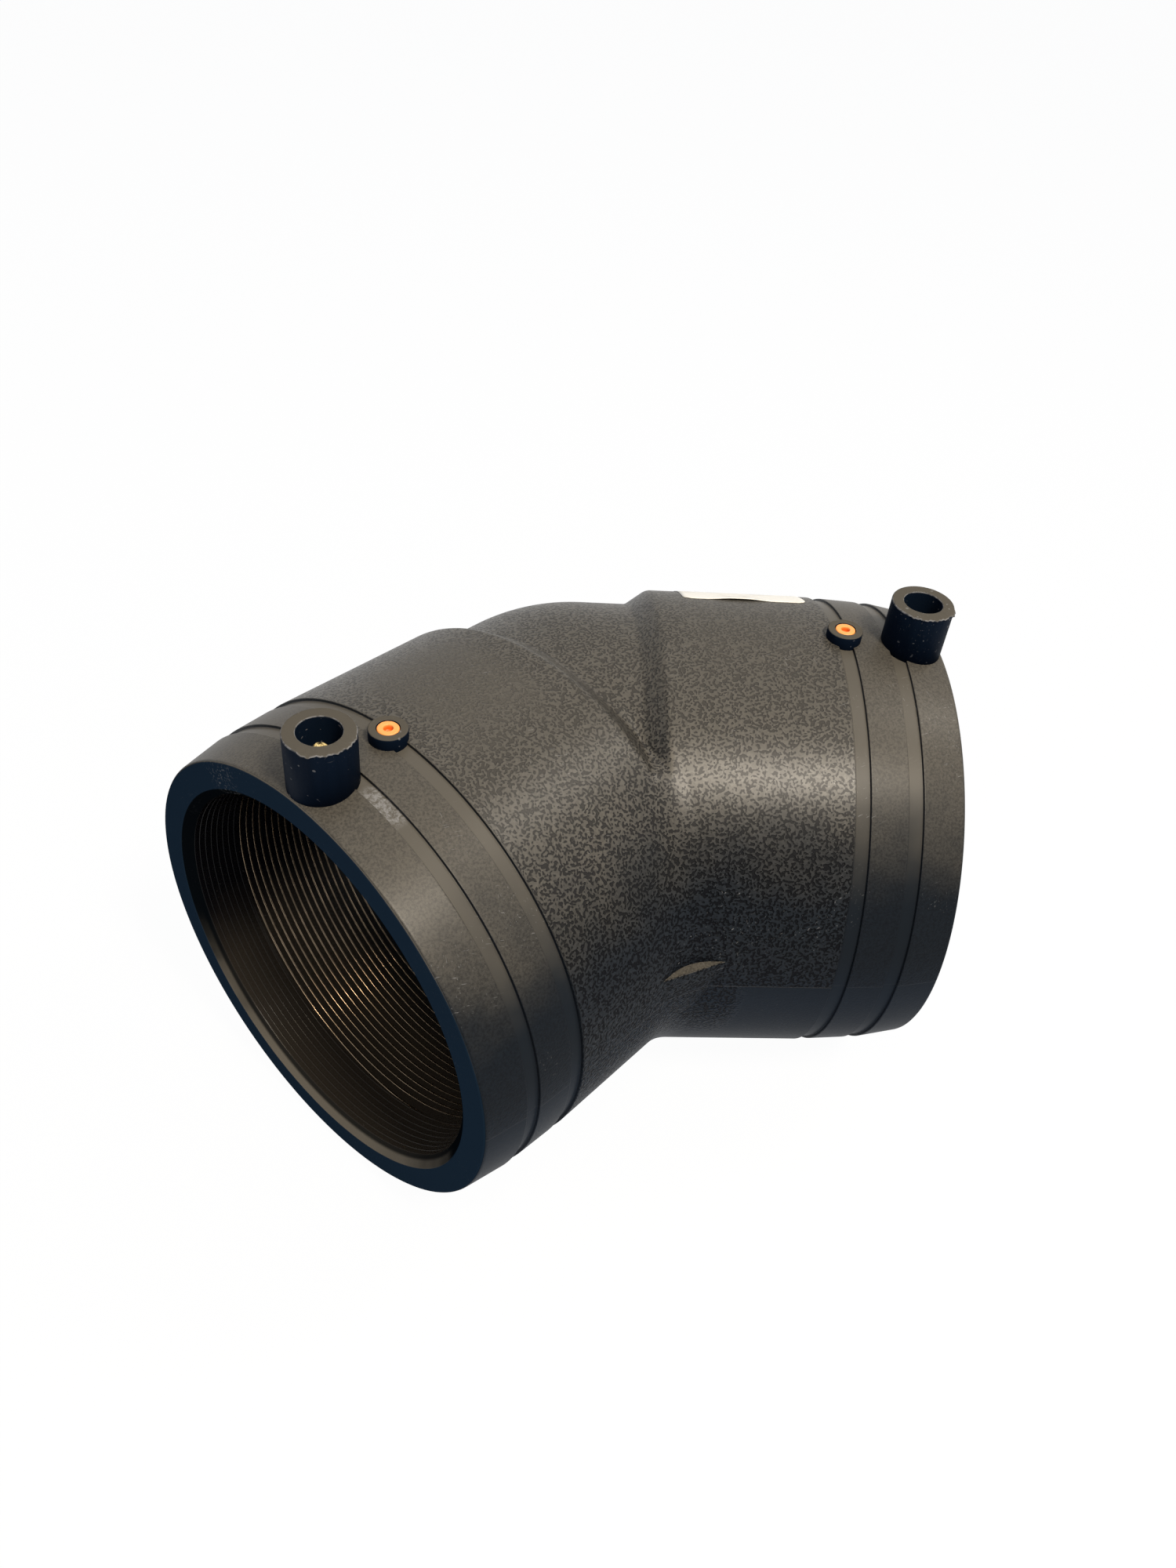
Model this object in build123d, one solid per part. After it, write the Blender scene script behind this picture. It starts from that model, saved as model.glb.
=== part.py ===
from build123d import *
import os
from math import cos, radians, sin, sqrt, tan

# 45 degree electrofusion elbow for 110 mm polyethylene pipe.
# It lies on its side: the bend is in the horizontal XY plane, both sockets face towards -Y and away
# along X, and the welding terminals stand up along +Z. Everything is in millimetres.
# While it is built, the crossing point of the two socket axes is at zero. The last step moves the
# zero point to the middle of the underside.

# Pipe and sockets
BEND_ANGLE = 45.0
PIPE_RADIUS = 55.0
PIPE_CLEARANCE = 0.4
SOCKET_DEPTH = 72.0
STOP_TO_CENTRE = 28.7
WALL = 13.8
STOP_LEDGE = 4.5

# Outside of a socket
MOUTH_RADIUS = 66.0
END_BAND_RADIUS = 68.2
LEAD_IN_RISE = 2.8
LEAD_IN_LENGTH = 2.5
GROOVE_WIDTH = 4.1
GROOVE_DEPTH = 0.8
GROOVE_1_FROM_MOUTH = 14.2
GROOVE_2_FROM_MOUTH = 28.8
SHOULDER_FROM_CENTRE = 20.3
SHOULDER_SLOPE_LENGTH = 6.2

# Inner side of the bend
VALLEY_END_HEIGHT = 54.7
THROAT_BLEND = 17.0
WEB_FACE_FROM_CENTRE = 78.2
WEB_TOP_HEIGHT = 9.5
WEB_FADE_HEIGHT = -26.0

# Heating wire
COIL_FROM_MOUTH = 16.2
WIRE_DIAMETER = 1.0
WIRE_PITCH = 2.22
COIL_TURNS = 18
LEAD_COVER = 0.4

# Terminals
TERMINAL_FROM_MOUTH = 9.0
SHROUD_RADIUS = 8.6
SHROUD_WALL = 3.25
SHROUD_TOP = 81.8
SHROUD_HOLE_DEPTH = 12.5
PIN_DIAMETER = 4.7
PIN_BELOW_RIM = 4.5
PIN_SHANK_WALL = 0.85

# Melt indicators
BOSS_RADIUS = 4.95
BOSS_TOP = 72.0
PLUG_RADIUS = 2.8
PLUG_LENGTH = 10.0
PLUG_DIMPLE_RADIUS = 0.9
PLUG_DIMPLE_DEPTH = 1.6

# Label on one socket
LABEL_FROM_MOUTH = 34.5
LABEL_LENGTH = 37.0
LABEL_START_ANGLE = 19.0
LABEL_END_ANGLE = 71.0
LABEL_THICKNESS = 0.2
LABEL_CORNER = 2.5

# Worked out from the sizes above
HALF_BEND = BEND_ANGLE / 2
BORE_RADIUS = PIPE_RADIUS + PIPE_CLEARANCE
SOCKET_RADIUS = BORE_RADIUS + WALL
MOUTH = STOP_TO_CENTRE + SOCKET_DEPTH
PASSAGE_RADIUS = BORE_RADIUS - STOP_LEDGE
BEND_RADIUS = SOCKET_RADIUS - STOP_LEDGE
COIL_LENGTH = COIL_TURNS * WIRE_PITCH
COIL_OUTER = BORE_RADIUS + WIRE_DIAMETER
LEAD_RADIUS = BORE_RADIUS + LEAD_COVER + WIRE_DIAMETER / 2
PIN_FOOT = LEAD_RADIUS + WIRE_DIAMETER / 2
PIN_TOP = SHROUD_TOP - PIN_BELOW_RIM
SHROUD_FLOOR = SHROUD_TOP - SHROUD_HOLE_DEPTH
WALL_MIDDLE = BORE_RADIUS + WALL / 2
BOSS_FROM_MOUTH = GROOVE_2_FROM_MOUTH

# A cylinder that stands on its origin, and one that hangs from it
FROM_BASE = (Align.CENTER, Align.CENTER, Align.MIN)
FROM_TOP = (Align.CENTER, Align.CENTER, Align.MAX)


def turned(points):
    """Turns a closed outline, given as (distance along the axis, radius), about the X axis."""
    return revolve(make_face(Polyline(*points, close=True)), Axis.X)


def placed(shape):
    """Lays a shape made along +X onto the axis of socket B."""
    return Rot(0, 0, -HALF_BEND) * shape


def outside_radius(from_mouth):
    """The socket's outer radius, before its grooves: a drafted end band, then a slow taper."""
    first = GROOVE_1_FROM_MOUTH - GROOVE_WIDTH / 2
    last = GROOVE_2_FROM_MOUTH + GROOVE_WIDTH / 2
    if from_mouth <= first:
        return MOUTH_RADIUS + (END_BAND_RADIUS - MOUTH_RADIUS) * from_mouth / first
    share = min((from_mouth - first) / (last - first), 1)
    return END_BAND_RADIUS + (SOCKET_RADIUS - END_BAND_RADIUS) * share


def groove_outline(middle):
    """The four corners of a ring groove, from its inner wall to the wall nearer the mouth."""
    inner = middle + GROOVE_WIDTH / 2
    outer = middle - GROOVE_WIDTH / 2
    inner_radius = outside_radius(inner)
    outer_radius = outside_radius(outer)
    return [
        (MOUTH - inner, inner_radius),
        (MOUTH - inner, inner_radius - GROOVE_DEPTH),
        (MOUTH - outer, outer_radius - GROOVE_DEPTH),
        (MOUTH - outer, outer_radius),
    ]


def socket_outside():
    """The solid socket from the bend's centre to its mouth, with the sloped shoulder and both grooves."""
    outline = [
        (0, 0),
        (0, BEND_RADIUS),
        (SHOULDER_FROM_CENTRE - SHOULDER_SLOPE_LENGTH, BEND_RADIUS),
        (SHOULDER_FROM_CENTRE, SOCKET_RADIUS),
        *groove_outline(GROOVE_2_FROM_MOUTH),
        *groove_outline(GROOVE_1_FROM_MOUTH),
        (MOUTH, MOUTH_RADIUS),
        (MOUTH, 0),
    ]
    return turned(outline)


def throat_space(height):
    """The space on the inner side of the bend, up to a height above and below the socket axes."""
    wide = 2 * SOCKET_RADIUS
    hidden_face = -sqrt(BEND_RADIUS**2 - VALLEY_END_HEIGHT**2) + STOP_LEDGE
    return Pos(0, hidden_face, 0) * Box(
        wide, wide, 2 * height, align=(Align.CENTER, Align.MAX, Align.CENTER)
    )


def blended_throat(sockets):
    """Carries both sockets on at full radius until they meet on the inner side of the bend, and rounds
    their crease. The valley between the shoulders ends at a level face."""
    blend_height = (VALLEY_END_HEIGHT + SOCKET_RADIUS) / 2
    half = placed(Rot(0, 90, 0) * Cylinder(SOCKET_RADIUS, SHOULDER_FROM_CENTRE, align=FROM_BASE))
    meeting = sockets + (both_sides(half) & throat_space(blend_height))
    crease = meeting.edges().filter_by_position(Axis.Y, -WEB_FACE_FROM_CENTRE, -BEND_RADIUS)
    crease = crease.sort_by(lambda edge: abs(edge.center().X) + abs(edge.center().Z))[0]
    return sockets + (fillet(crease, THROAT_BLEND) & throat_space(VALLEY_END_HEIGHT))


def throat_web():
    """The small web across the crease at the deepest point of the throat: a level ledge on top, and
    under it a face that curves back until it meets the crease again."""
    fade_depth = sqrt(SOCKET_RADIUS**2 - WEB_FADE_HEIGHT**2) / cos(radians(HALF_BEND))
    drop = WEB_TOP_HEIGHT - WEB_FADE_HEIGHT
    retreat = WEB_FACE_FROM_CENTRE - fade_depth
    face_radius = (drop**2 + retreat**2) / (2 * retreat)
    face = Pos(0, face_radius - WEB_FACE_FROM_CENTRE, WEB_TOP_HEIGHT) * Rot(0, 90, 0) * Cylinder(
        face_radius, SOCKET_RADIUS
    )
    below_ledge = Pos(0, -BEND_RADIUS, WEB_TOP_HEIGHT) * Box(
        SOCKET_RADIUS, BEND_RADIUS, drop, align=(Align.CENTER, Align.CENTER, Align.MAX)
    )
    return face & below_ledge


def socket_bore():
    """The bore with its lead-in and the recess of the coil, from the pipe stop to the mouth."""
    coil_start = MOUTH - COIL_FROM_MOUTH
    coil_end = coil_start - COIL_LENGTH
    outline = [
        (STOP_TO_CENTRE, 0),
        (STOP_TO_CENTRE, BORE_RADIUS),
        (coil_end, BORE_RADIUS),
        (coil_end, COIL_OUTER),
        (coil_start, COIL_OUTER),
        (coil_start, BORE_RADIUS),
        (MOUTH - LEAD_IN_LENGTH, BORE_RADIUS),
        (MOUTH, BORE_RADIUS + LEAD_IN_RISE),
        (MOUTH + WALL, BORE_RADIUS + LEAD_IN_RISE),
        (MOUTH + WALL, 0),
    ]
    return turned(outline)


def half_passage():
    """The passage through the bend, from the middle of the bend to the pipe stop of socket B. The two
    halves meet in a mitre, as the straight cores that form them do."""
    overrun = PASSAGE_RADIUS * tan(radians(HALF_BEND))
    core = Pos(-overrun, 0, 0) * Rot(0, 90, 0) * Cylinder(
        PASSAGE_RADIUS, STOP_TO_CENTRE + overrun, align=FROM_BASE
    )
    side_b = Box(MOUTH, 2 * MOUTH, 2 * MOUTH, align=(Align.MIN, Align.CENTER, Align.CENTER))
    return placed(core) & side_b


def shroud():
    """The cup round a terminal, moulded with the socket's wall."""
    return Pos(MOUTH - TERMINAL_FROM_MOUTH, 0, WALL_MIDDLE) * Cylinder(
        SHROUD_RADIUS, SHROUD_TOP - WALL_MIDDLE, align=FROM_BASE
    )


def shroud_hole():
    """The hollow of the cup, which the welding plug goes into."""
    return Pos(MOUTH - TERMINAL_FROM_MOUTH, 0, SHROUD_FLOOR) * Cylinder(
        SHROUD_RADIUS - SHROUD_WALL, SHROUD_HOLE_DEPTH, align=FROM_BASE
    )


def indicator_boss():
    """The round boss that holds a melt indicator."""
    return Pos(MOUTH - BOSS_FROM_MOUTH, 0, WALL_MIDDLE) * Cylinder(
        BOSS_RADIUS, BOSS_TOP - WALL_MIDDLE, align=FROM_BASE
    )


def terminal_pin():
    """A brass contact pin that stands up in its cup. Its shank, thicker by a small shoulder all round,
    is moulded into the wall."""
    shank = Cylinder(PIN_DIAMETER / 2 + PIN_SHANK_WALL, SHROUD_FLOOR - PIN_FOOT, align=FROM_BASE)
    free_end = Cylinder(PIN_DIAMETER / 2, PIN_TOP - PIN_FOOT, align=FROM_BASE)
    return Pos(MOUTH - TERMINAL_FROM_MOUTH, 0, PIN_FOOT) * (shank + free_end)


def indicator_plug():
    """A melt indicator: a plug that fills its boss, with a dimple in its top."""
    plug = Cylinder(PLUG_RADIUS, PLUG_LENGTH, align=FROM_TOP)
    plug -= Cylinder(PLUG_DIMPLE_RADIUS, PLUG_DIMPLE_DEPTH, align=FROM_TOP)
    return Pos(MOUTH - BOSS_FROM_MOUTH, 0, BOSS_TOP) * plug


def plug_hole():
    """The blind hole in the boss for its melt indicator."""
    return Pos(MOUTH - BOSS_FROM_MOUTH, 0, BOSS_TOP) * Cylinder(
        PLUG_RADIUS, PLUG_LENGTH, align=FROM_TOP
    )


def coil():
    """One coil: its turns of wire, side by side, as one sleeve in the recess of the bore."""
    start = MOUTH - COIL_FROM_MOUTH
    outline = [
        (start - COIL_LENGTH, BORE_RADIUS),
        (start - COIL_LENGTH, COIL_OUTER),
        (start, COIL_OUTER),
        (start, BORE_RADIUS),
    ]
    return turned(outline)


def wire_along_axis(start, end):
    """A straight stretch of wire, parallel to the socket's axis and on its upper side."""
    return Pos(start, 0, LEAD_RADIUS) * Box(
        end - start, WIRE_DIAMETER, WIRE_DIAMETER, align=(Align.MIN, Align.CENTER, Align.CENTER)
    )


def terminal_lead():
    """The end of the wire, from the coil through the wall to the foot of the pin."""
    return wire_along_axis(MOUTH - COIL_FROM_MOUTH - WIRE_PITCH / 2, MOUTH - TERMINAL_FROM_MOUTH)


def half_bridge():
    """Half of the wire that joins the coils, in the wall on the outer side of the bend."""
    overrun = (LEAD_RADIUS + WIRE_DIAMETER) * tan(radians(HALF_BEND))
    coil_end = MOUTH - COIL_FROM_MOUTH - COIL_LENGTH + WIRE_PITCH / 2
    stretch = Rot(-90, 0, 0) * wire_along_axis(-overrun, coil_end)
    side_b = Box(MOUTH, 2 * MOUTH, 2 * MOUTH, align=(Align.MIN, Align.CENTER, Align.CENTER))
    return placed(stretch) & side_b


def label():
    """The paper label, wrapped round the upper back of socket B, with rounded corners."""
    inner = MOUTH - LABEL_FROM_MOUTH - LABEL_LENGTH
    sheet = Pos(inner, SOCKET_RADIUS) * Rectangle(LABEL_LENGTH, LABEL_THICKNESS, align=Align.MIN)
    sweep_angle = LABEL_END_ANGLE - LABEL_START_ANGLE
    sheet = revolve(sheet, Axis.X, revolution_arc=sweep_angle)
    chord = 2 * (SOCKET_RADIUS + LABEL_THICKNESS) * sin(radians(sweep_angle / 2))
    trim = Pos(0, 0, SOCKET_RADIUS / 2) * extrude(
        RectangleRounded(LABEL_LENGTH, chord, LABEL_CORNER), SOCKET_RADIUS
    )
    middle_angle = sweep_angle / 2
    trim = Pos(inner + LABEL_LENGTH / 2, 0, 0) * Rot(middle_angle - 90, 0, 0) * trim
    return Rot(LABEL_START_ANGLE, 0, 0) * (sheet & trim)


def both_sides(shape):
    """A shape on socket B and its mirror image on socket A."""
    return shape + mirror(shape, Plane.YZ)


def elbow_body(wire, pins):
    """The one black moulding: outside, throat, shrouds and bosses, with every hollow cut in it."""
    sockets = both_sides(placed(socket_outside())) + Sphere(BEND_RADIUS)
    body = blended_throat(sockets) + throat_web()
    body += both_sides(placed(shroud() + indicator_boss()))
    body -= both_sides(placed(socket_bore()) + half_passage())
    body -= both_sides(placed(shroud_hole() + plug_hole()))
    for moulded_in in [wire, *pins]:
        body -= moulded_in
    return body


def build():
    """All nodes by name, with the zero point in the middle of the underside."""
    wire = both_sides(placed(coil() + terminal_lead()) + half_bridge())
    pin_b = placed(terminal_pin())
    plug_b = placed(indicator_plug())
    pins = [mirror(pin_b, Plane.YZ), pin_b]
    plugs = [mirror(plug_b, Plane.YZ), plug_b]
    body = elbow_body(wire, pins)
    nodes = {
        "elbow_body": body,
        "heating_wire": wire,
        "terminal_pin_a": pins[0],
        "terminal_pin_b": pins[1],
        "melt_indicator_a": plugs[0],
        "melt_indicator_b": plugs[1],
        "label": placed(label()),
    }
    box = body.bounding_box()
    to_underside = Pos(-(box.min.X + box.max.X) / 2, -(box.min.Y + box.max.Y) / 2, -box.min.Z)
    return {name: to_underside * shape for name, shape in nodes.items()}


if __name__ == "__main__":
    os.makedirs("parts", exist_ok=True)
    for name, shape in build().items():
        export_step(shape, f"parts/{name}.step")
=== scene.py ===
"""Dresses the 45 degree electrofusion elbow: moulding, heating wire, pins, melt indicators and label.

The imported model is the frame, in metres. Sizes in the classes are in millimetres, measured from the
point where the axes of the two sockets cross, unless a field says otherwise.
"""
import functools
import logging
import math
from collections.abc import Callable, Sequence
from dataclasses import dataclass, field
from enum import Enum
from typing import ClassVar

import bmesh
import bpy
import numpy as np
from mathutils import Matrix, Vector


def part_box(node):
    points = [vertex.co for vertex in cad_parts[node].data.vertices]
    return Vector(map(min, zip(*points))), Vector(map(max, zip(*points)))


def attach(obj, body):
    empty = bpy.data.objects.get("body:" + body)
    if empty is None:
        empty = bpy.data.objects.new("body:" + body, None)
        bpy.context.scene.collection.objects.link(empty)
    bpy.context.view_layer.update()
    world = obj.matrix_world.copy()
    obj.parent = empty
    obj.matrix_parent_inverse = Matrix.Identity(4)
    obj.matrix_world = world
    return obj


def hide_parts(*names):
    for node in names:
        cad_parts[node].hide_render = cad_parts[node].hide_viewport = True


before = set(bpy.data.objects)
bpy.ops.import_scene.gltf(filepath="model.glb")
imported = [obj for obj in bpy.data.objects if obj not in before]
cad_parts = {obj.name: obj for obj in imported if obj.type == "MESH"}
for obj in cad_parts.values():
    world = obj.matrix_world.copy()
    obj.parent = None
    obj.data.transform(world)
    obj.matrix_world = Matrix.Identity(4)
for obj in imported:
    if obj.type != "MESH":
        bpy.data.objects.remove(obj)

LOG = logging.getLogger("elbow")
MM = 0.001
PHOTO_WIDTH = 1500
PHOTO_HEIGHT = 2000
FULL_TURN = 2 * math.pi

Array = np.ndarray
Profile = list[tuple[float, float]]
Faces = list[tuple[int, ...]]
Colour = tuple[float, float, float, float]
Piece = bpy.types.Object
Material = bpy.types.Material
Tree = bpy.types.NodeTree
Socket = bpy.types.NodeSocket
Sockets = bpy.types.NodeOutputs
Inputs = dict[str | int, object]
Number = float | Socket
Span = tuple[Number, Number]


class Side(Enum):
    """The two sockets: A at -X and B at +X."""

    A = -1
    B = 1

    @property
    def letter(self) -> str:
        """The letter that ends the names of this side's pieces."""
        return self.name.lower()


class Zone(Enum):
    """The surfaces of the moulding that have a finish of their own."""

    OUTSIDE = "outside"
    RIM = "rim"
    CUP = "cup"
    BORE = "bore"

    @property
    def number(self) -> int:
        """The zone's place among the moulding's materials."""
        return list(Zone).index(self)


@dataclass(frozen=True)
class ElbowSizes:
    """The sizes that the elbow's pieces share."""

    half_bend: float = math.radians(22.5)
    bore: float = 55.4
    passage: float = 50.9
    outside: float = 69.2
    bend_outside: float = 64.7
    stop: float = 28.7
    mouth: float = 100.7
    mouth_outside: float = 66.0
    end_band: float = 68.2
    terminal: float = 91.7
    indicator: float = 71.9
    wall_middle: float = 62.3

    @property
    def slope(self) -> float:
        """How far a mitred cut moves along a socket per millimetre across it."""
        return math.tan(self.half_bend)

    def crossing(self) -> Vector:
        """Where the socket axes cross, in metres in the frame."""
        low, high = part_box("elbow_body")
        return Vector((0.0, high.y - self.bend_outside * MM, low.z + self.outside * MM))

    def place(self, side: Side) -> Matrix:
        """The place of a socket.

        Args:
            side: Which socket.

        Returns:
            A matrix from (along the axis, towards the outer side of the bend, up) in millimetres to the
            frame in metres.
        """
        cosine = math.cos(self.half_bend)
        sine = math.sin(self.half_bend)
        rows = (
            (side.value * cosine, side.value * sine, 0.0, 0.0),
            (-sine, cosine, 0.0, 0.0),
            (0.0, 0.0, 1.0, 0.0),
            (0.0, 0.0, 0.0, 1.0),
        )
        return Matrix.Translation(self.crossing()) @ Matrix.Scale(MM, 4) @ Matrix(rows)


SIZES = ElbowSizes()


# Mesh helpers


def rounded_outline(points: Profile, radii: Sequence[float], steps: int = 4) -> Profile:
    """Rounds the corners of an open outline.

    Args:
        points: The outline's corners, its two ends included.
        radii: One radius for each corner between the ends. Zero keeps the corner sharp.
        steps: How many short runs make each arc.

    Returns:
        The outline with its arcs, and a point just before and after each arc that keeps flats flat.
    """
    corners = [np.array(point, float) for point in points]
    path = [corners[0]]
    for before, corner, after, radius in zip(corners, corners[1:], corners[2:], radii):
        back = before - corner
        ahead = after - corner
        back_room = np.linalg.norm(back)
        ahead_room = np.linalg.norm(ahead)
        back = back / back_room
        ahead = ahead / ahead_room
        half = math.acos(np.clip(back @ ahead, -1, 1)) / 2
        if radius == 0 or half > 1.55:
            path.append(corner)
            continue
        reach = min(radius / math.tan(half), 0.42 * min(back_room, ahead_room))
        centre = corner + (back + ahead) / np.linalg.norm(back + ahead) * (reach / math.cos(half))
        start = corner + back * reach - centre
        end = corner + ahead * reach - centre
        sweep = math.acos(np.clip(start @ end / (np.linalg.norm(start) * np.linalg.norm(end)), -1, 1))
        path.append(corner + back * min(reach * 1.5, reach + 0.08 * back_room))
        for step in range(steps + 1):
            share = step / steps
            arm = (math.sin((1 - share) * sweep) * start + math.sin(share * sweep) * end) / math.sin(sweep)
            path.append(centre + arm)
        path.append(corner + ahead * min(reach * 1.5, reach + 0.08 * ahead_room))
    path.append(corners[-1])
    return [(float(point[0]), float(point[1])) for point in path]


def grid_faces(rows: int, columns: int, close_rows: bool = False) -> Faces:
    """The faces of a grid whose columns run once round.

    Args:
        rows: How many rows of points.
        columns: How many points in each row.
        close_rows: Whether the last row joins the first.

    Returns:
        Four-sided faces, as tuples of point numbers.
    """
    faces = []
    last = rows if close_rows else rows - 1
    for row in range(last):
        here = row * columns
        above = (row + 1) % rows * columns
        for column in range(columns):
            beside = (column + 1) % columns
            faces.append((here + column, here + beside, above + beside, above + column))
    return faces


def linked_piece(name: str, mesh: bpy.types.Mesh) -> Piece:
    """Makes a smooth object of a mesh, with its faces pointing outwards.

    Args:
        name: The object's name.
        mesh: Its mesh.

    Returns:
        The object, linked to the scene.
    """
    build = bmesh.new()
    build.from_mesh(mesh)
    bmesh.ops.recalc_face_normals(build, faces=build.faces)
    build.to_mesh(mesh)
    build.free()
    mesh.shade_smooth()
    piece = bpy.data.objects.new(name, mesh)
    bpy.context.scene.collection.objects.link(piece)
    return piece


@dataclass
class ShellSet:
    """Collects closed shells and makes them one mesh object."""

    points: list[Array] = field(default_factory=list)
    faces: Faces = field(default_factory=list)
    zones: list[int] = field(default_factory=list)
    count: int = 0

    def add(self, points: Array, faces: Faces, zones: Sequence[int], place: Matrix) -> None:
        """Adds one shell.

        Args:
            points: Its points in millimetres, one row each.
            faces: Its faces.
            zones: The number of each face's material, or one number for all.
            place: The matrix from those millimetres to the frame.
        """
        matrix = np.array(place)
        self.points.append(points @ matrix[:3, :3].T + matrix[:3, 3])
        self.faces += [tuple(corner + self.count for corner in face) for face in faces]
        self.zones += list(zones) * (len(faces) // len(zones))
        self.count += len(points)

    def to_object(self, name: str, materials: Sequence[Material]) -> Piece:
        """Makes the object.

        Args:
            name: The object's name.
            materials: Its materials, in the order of the zones.

        Returns:
            The object, linked to the scene.
        """
        mesh = bpy.data.meshes.new(name)
        mesh.from_pydata(np.concatenate(self.points).tolist(), [], self.faces)
        for material in materials:
            mesh.materials.append(material)
        mesh.polygons.foreach_set("material_index", self.zones)
        return linked_piece(name, mesh)


def one_shell(name: str, shell: tuple[Array, Faces], place: Matrix, material: Material) -> Piece:
    """Makes an object of one shell in one material.

    Args:
        name: The object's name.
        shell: The points in millimetres and the faces.
        place: The matrix from those millimetres to the frame.
        material: The material.

    Returns:
        The object, linked to the scene.
    """
    shells = ShellSet()
    shells.add(*shell, [0], place)
    return shells.to_object(name, [material])


def lathed(
    profile: Profile,
    middle: float,
    around: int = 96,
    shape: Callable[[Array, Array, Array], tuple[Array, Array]] | None = None,
) -> tuple[Array, Faces]:
    """Turns a profile about an upright axis that stands on a socket's axis.

    Args:
        profile: (radius, height) points, from one pole to the other.
        middle: Where the axis stands, along the socket.
        around: How many points go round.
        shape: Changes (angle, radius, height) of every point off the poles into (radius, height).

    Returns:
        The points, as (along, outward, up), and the faces.
    """
    inside = profile[1:-1]
    angle = np.tile(np.arange(around) * FULL_TURN / around, len(inside))
    radius = np.repeat([point[0] for point in inside], around)
    height = np.repeat([point[1] for point in inside], around)
    if shape is not None:
        radius, height = shape(angle, radius, height)
    points = np.stack([middle + radius * np.cos(angle), radius * np.sin(angle), height], axis=1)
    poles = np.array([[middle, 0.0, profile[0][1]], [middle, 0.0, profile[-1][1]]])
    faces = grid_faces(len(inside), around)
    first_pole = len(points)
    last_row = (len(inside) - 1) * around
    for column in range(around):
        beside = (column + 1) % around
        faces.append((beside, column, first_pole))
        faces.append((last_row + column, last_row + beside, first_pole + 1))
    return np.concatenate([points, poles]), faces


def ease(value: Array | float, low: float, high: float) -> Array | float:
    """Rises smoothly from 0 at low to 1 at high."""
    share = np.clip((value - low) / (high - low), 0, 1)
    return share * share * (3 - 2 * share)


# Node helpers

FLOAT = "NodeSocketFloat"
VECTOR = "NodeSocketVector"
MATERIAL = "NodeSocketMaterial"
GEOMETRY = "NodeSocketGeometry"
FALLING = (1.0, 0.0)


class Wiring:
    """Adds nodes to a tree and links them."""

    def __init__(self, tree: Tree) -> None:
        """Keeps the tree that the nodes go into."""
        self.tree = tree

    def fill(self, node: bpy.types.Node, inputs: Inputs) -> None:
        """Links or sets the inputs of a node.

        Args:
            node: The node.
            inputs: Values or sockets for its inputs, by name or number.
        """
        for key, value in inputs.items():
            if isinstance(value, Socket):
                self.tree.links.new(value, node.inputs[key])
            else:
                node.inputs[key].default_value = value

    def node(self, kind: str, inputs: Inputs | None = None, **settings: object) -> bpy.types.Node:
        """Adds a node.

        Args:
            kind: The node's type.
            inputs: Values or sockets for its inputs, by name or number.
            settings: The node's own properties.

        Returns:
            The node.
        """
        made = self.tree.nodes.new(kind)
        for name, value in settings.items():
            setattr(made, name, value)
        self.fill(made, inputs or {})
        return made

    def group(self, tree: Tree, inputs: Inputs | None = None) -> Sockets:
        """Adds a shader node group and gives its outputs."""
        return self.node("ShaderNodeGroup", inputs, node_tree=tree).outputs

    def math(self, operation: str, first: Number, second: Number = 0.0, third: Number = 0.0) -> Socket:
        """One step of arithmetic on numbers."""
        return self.node("ShaderNodeMath", {0: first, 1: second, 2: third}, operation=operation).outputs[0]

    def product(self, *factors: Number) -> Socket:
        """The product of numbers."""
        return functools.reduce(functools.partial(self.math, "MULTIPLY"), factors)

    def largest(self, *numbers: Number) -> Socket:
        """The largest of numbers."""
        return functools.reduce(functools.partial(self.math, "MAXIMUM"), numbers)

    def total(self, *numbers: Number) -> Socket:
        """The sum of numbers."""
        return functools.reduce(functools.partial(self.math, "ADD"), numbers)

    def vector_math(self, operation: str, first: object, second: object) -> Socket:
        """One step of arithmetic on vectors."""
        return self.node("ShaderNodeVectorMath", {0: first, 1: second}, operation=operation).outputs[0]

    def rise(self, value: Number, between: Span, levels: Span = (0.0, 1.0)) -> Socket:
        """A smooth change from the first level to the second as the value crosses a span.

        Args:
            value: The value.
            between: Where the change starts and ends.
            levels: The results before and after it.

        Returns:
            The level.
        """
        inputs = {
            "Value": value,
            "From Min": between[0],
            "From Max": between[1],
            "To Min": levels[0],
            "To Max": levels[1],
        }
        return self.node("ShaderNodeMapRange", inputs, interpolation_type="SMOOTHSTEP").outputs["Result"]

    def band(self, value: Number, between: Span, edge: float) -> Socket:
        """1 inside a span and 0 outside it, with soft edges.

        Args:
            value: The value.
            between: The span.
            edge: Half the width of each edge.

        Returns:
            A mask.
        """
        low, high = between
        lower = self.rise(value, (low - edge, low + edge))
        upper = self.rise(value, (high - edge, high + edge), FALLING)
        return self.product(lower, upper)

    def noise(self, vector: object, scale: Number, detail: float = 2.0, roughness: float = 0.5) -> Socket:
        """A noise pattern between 0 and 1."""
        inputs = {"Vector": vector, "Scale": scale, "Detail": detail, "Roughness": roughness}
        return self.node("ShaderNodeTexNoise", inputs).outputs[0]

    def blend(self, factor: Number, first: object, second: object) -> Socket:
        """Mixes two colours."""
        return self.node("ShaderNodeMix", {0: factor, 6: first, 7: second}, data_type="RGBA").outputs[2]

    def upward(self) -> Socket:
        """How far the surface faces up, from -1 to 1."""
        normal = self.node("ShaderNodeTexCoord").outputs["Normal"]
        return self.node("ShaderNodeSeparateXYZ", {0: normal}).outputs[2]


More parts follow.
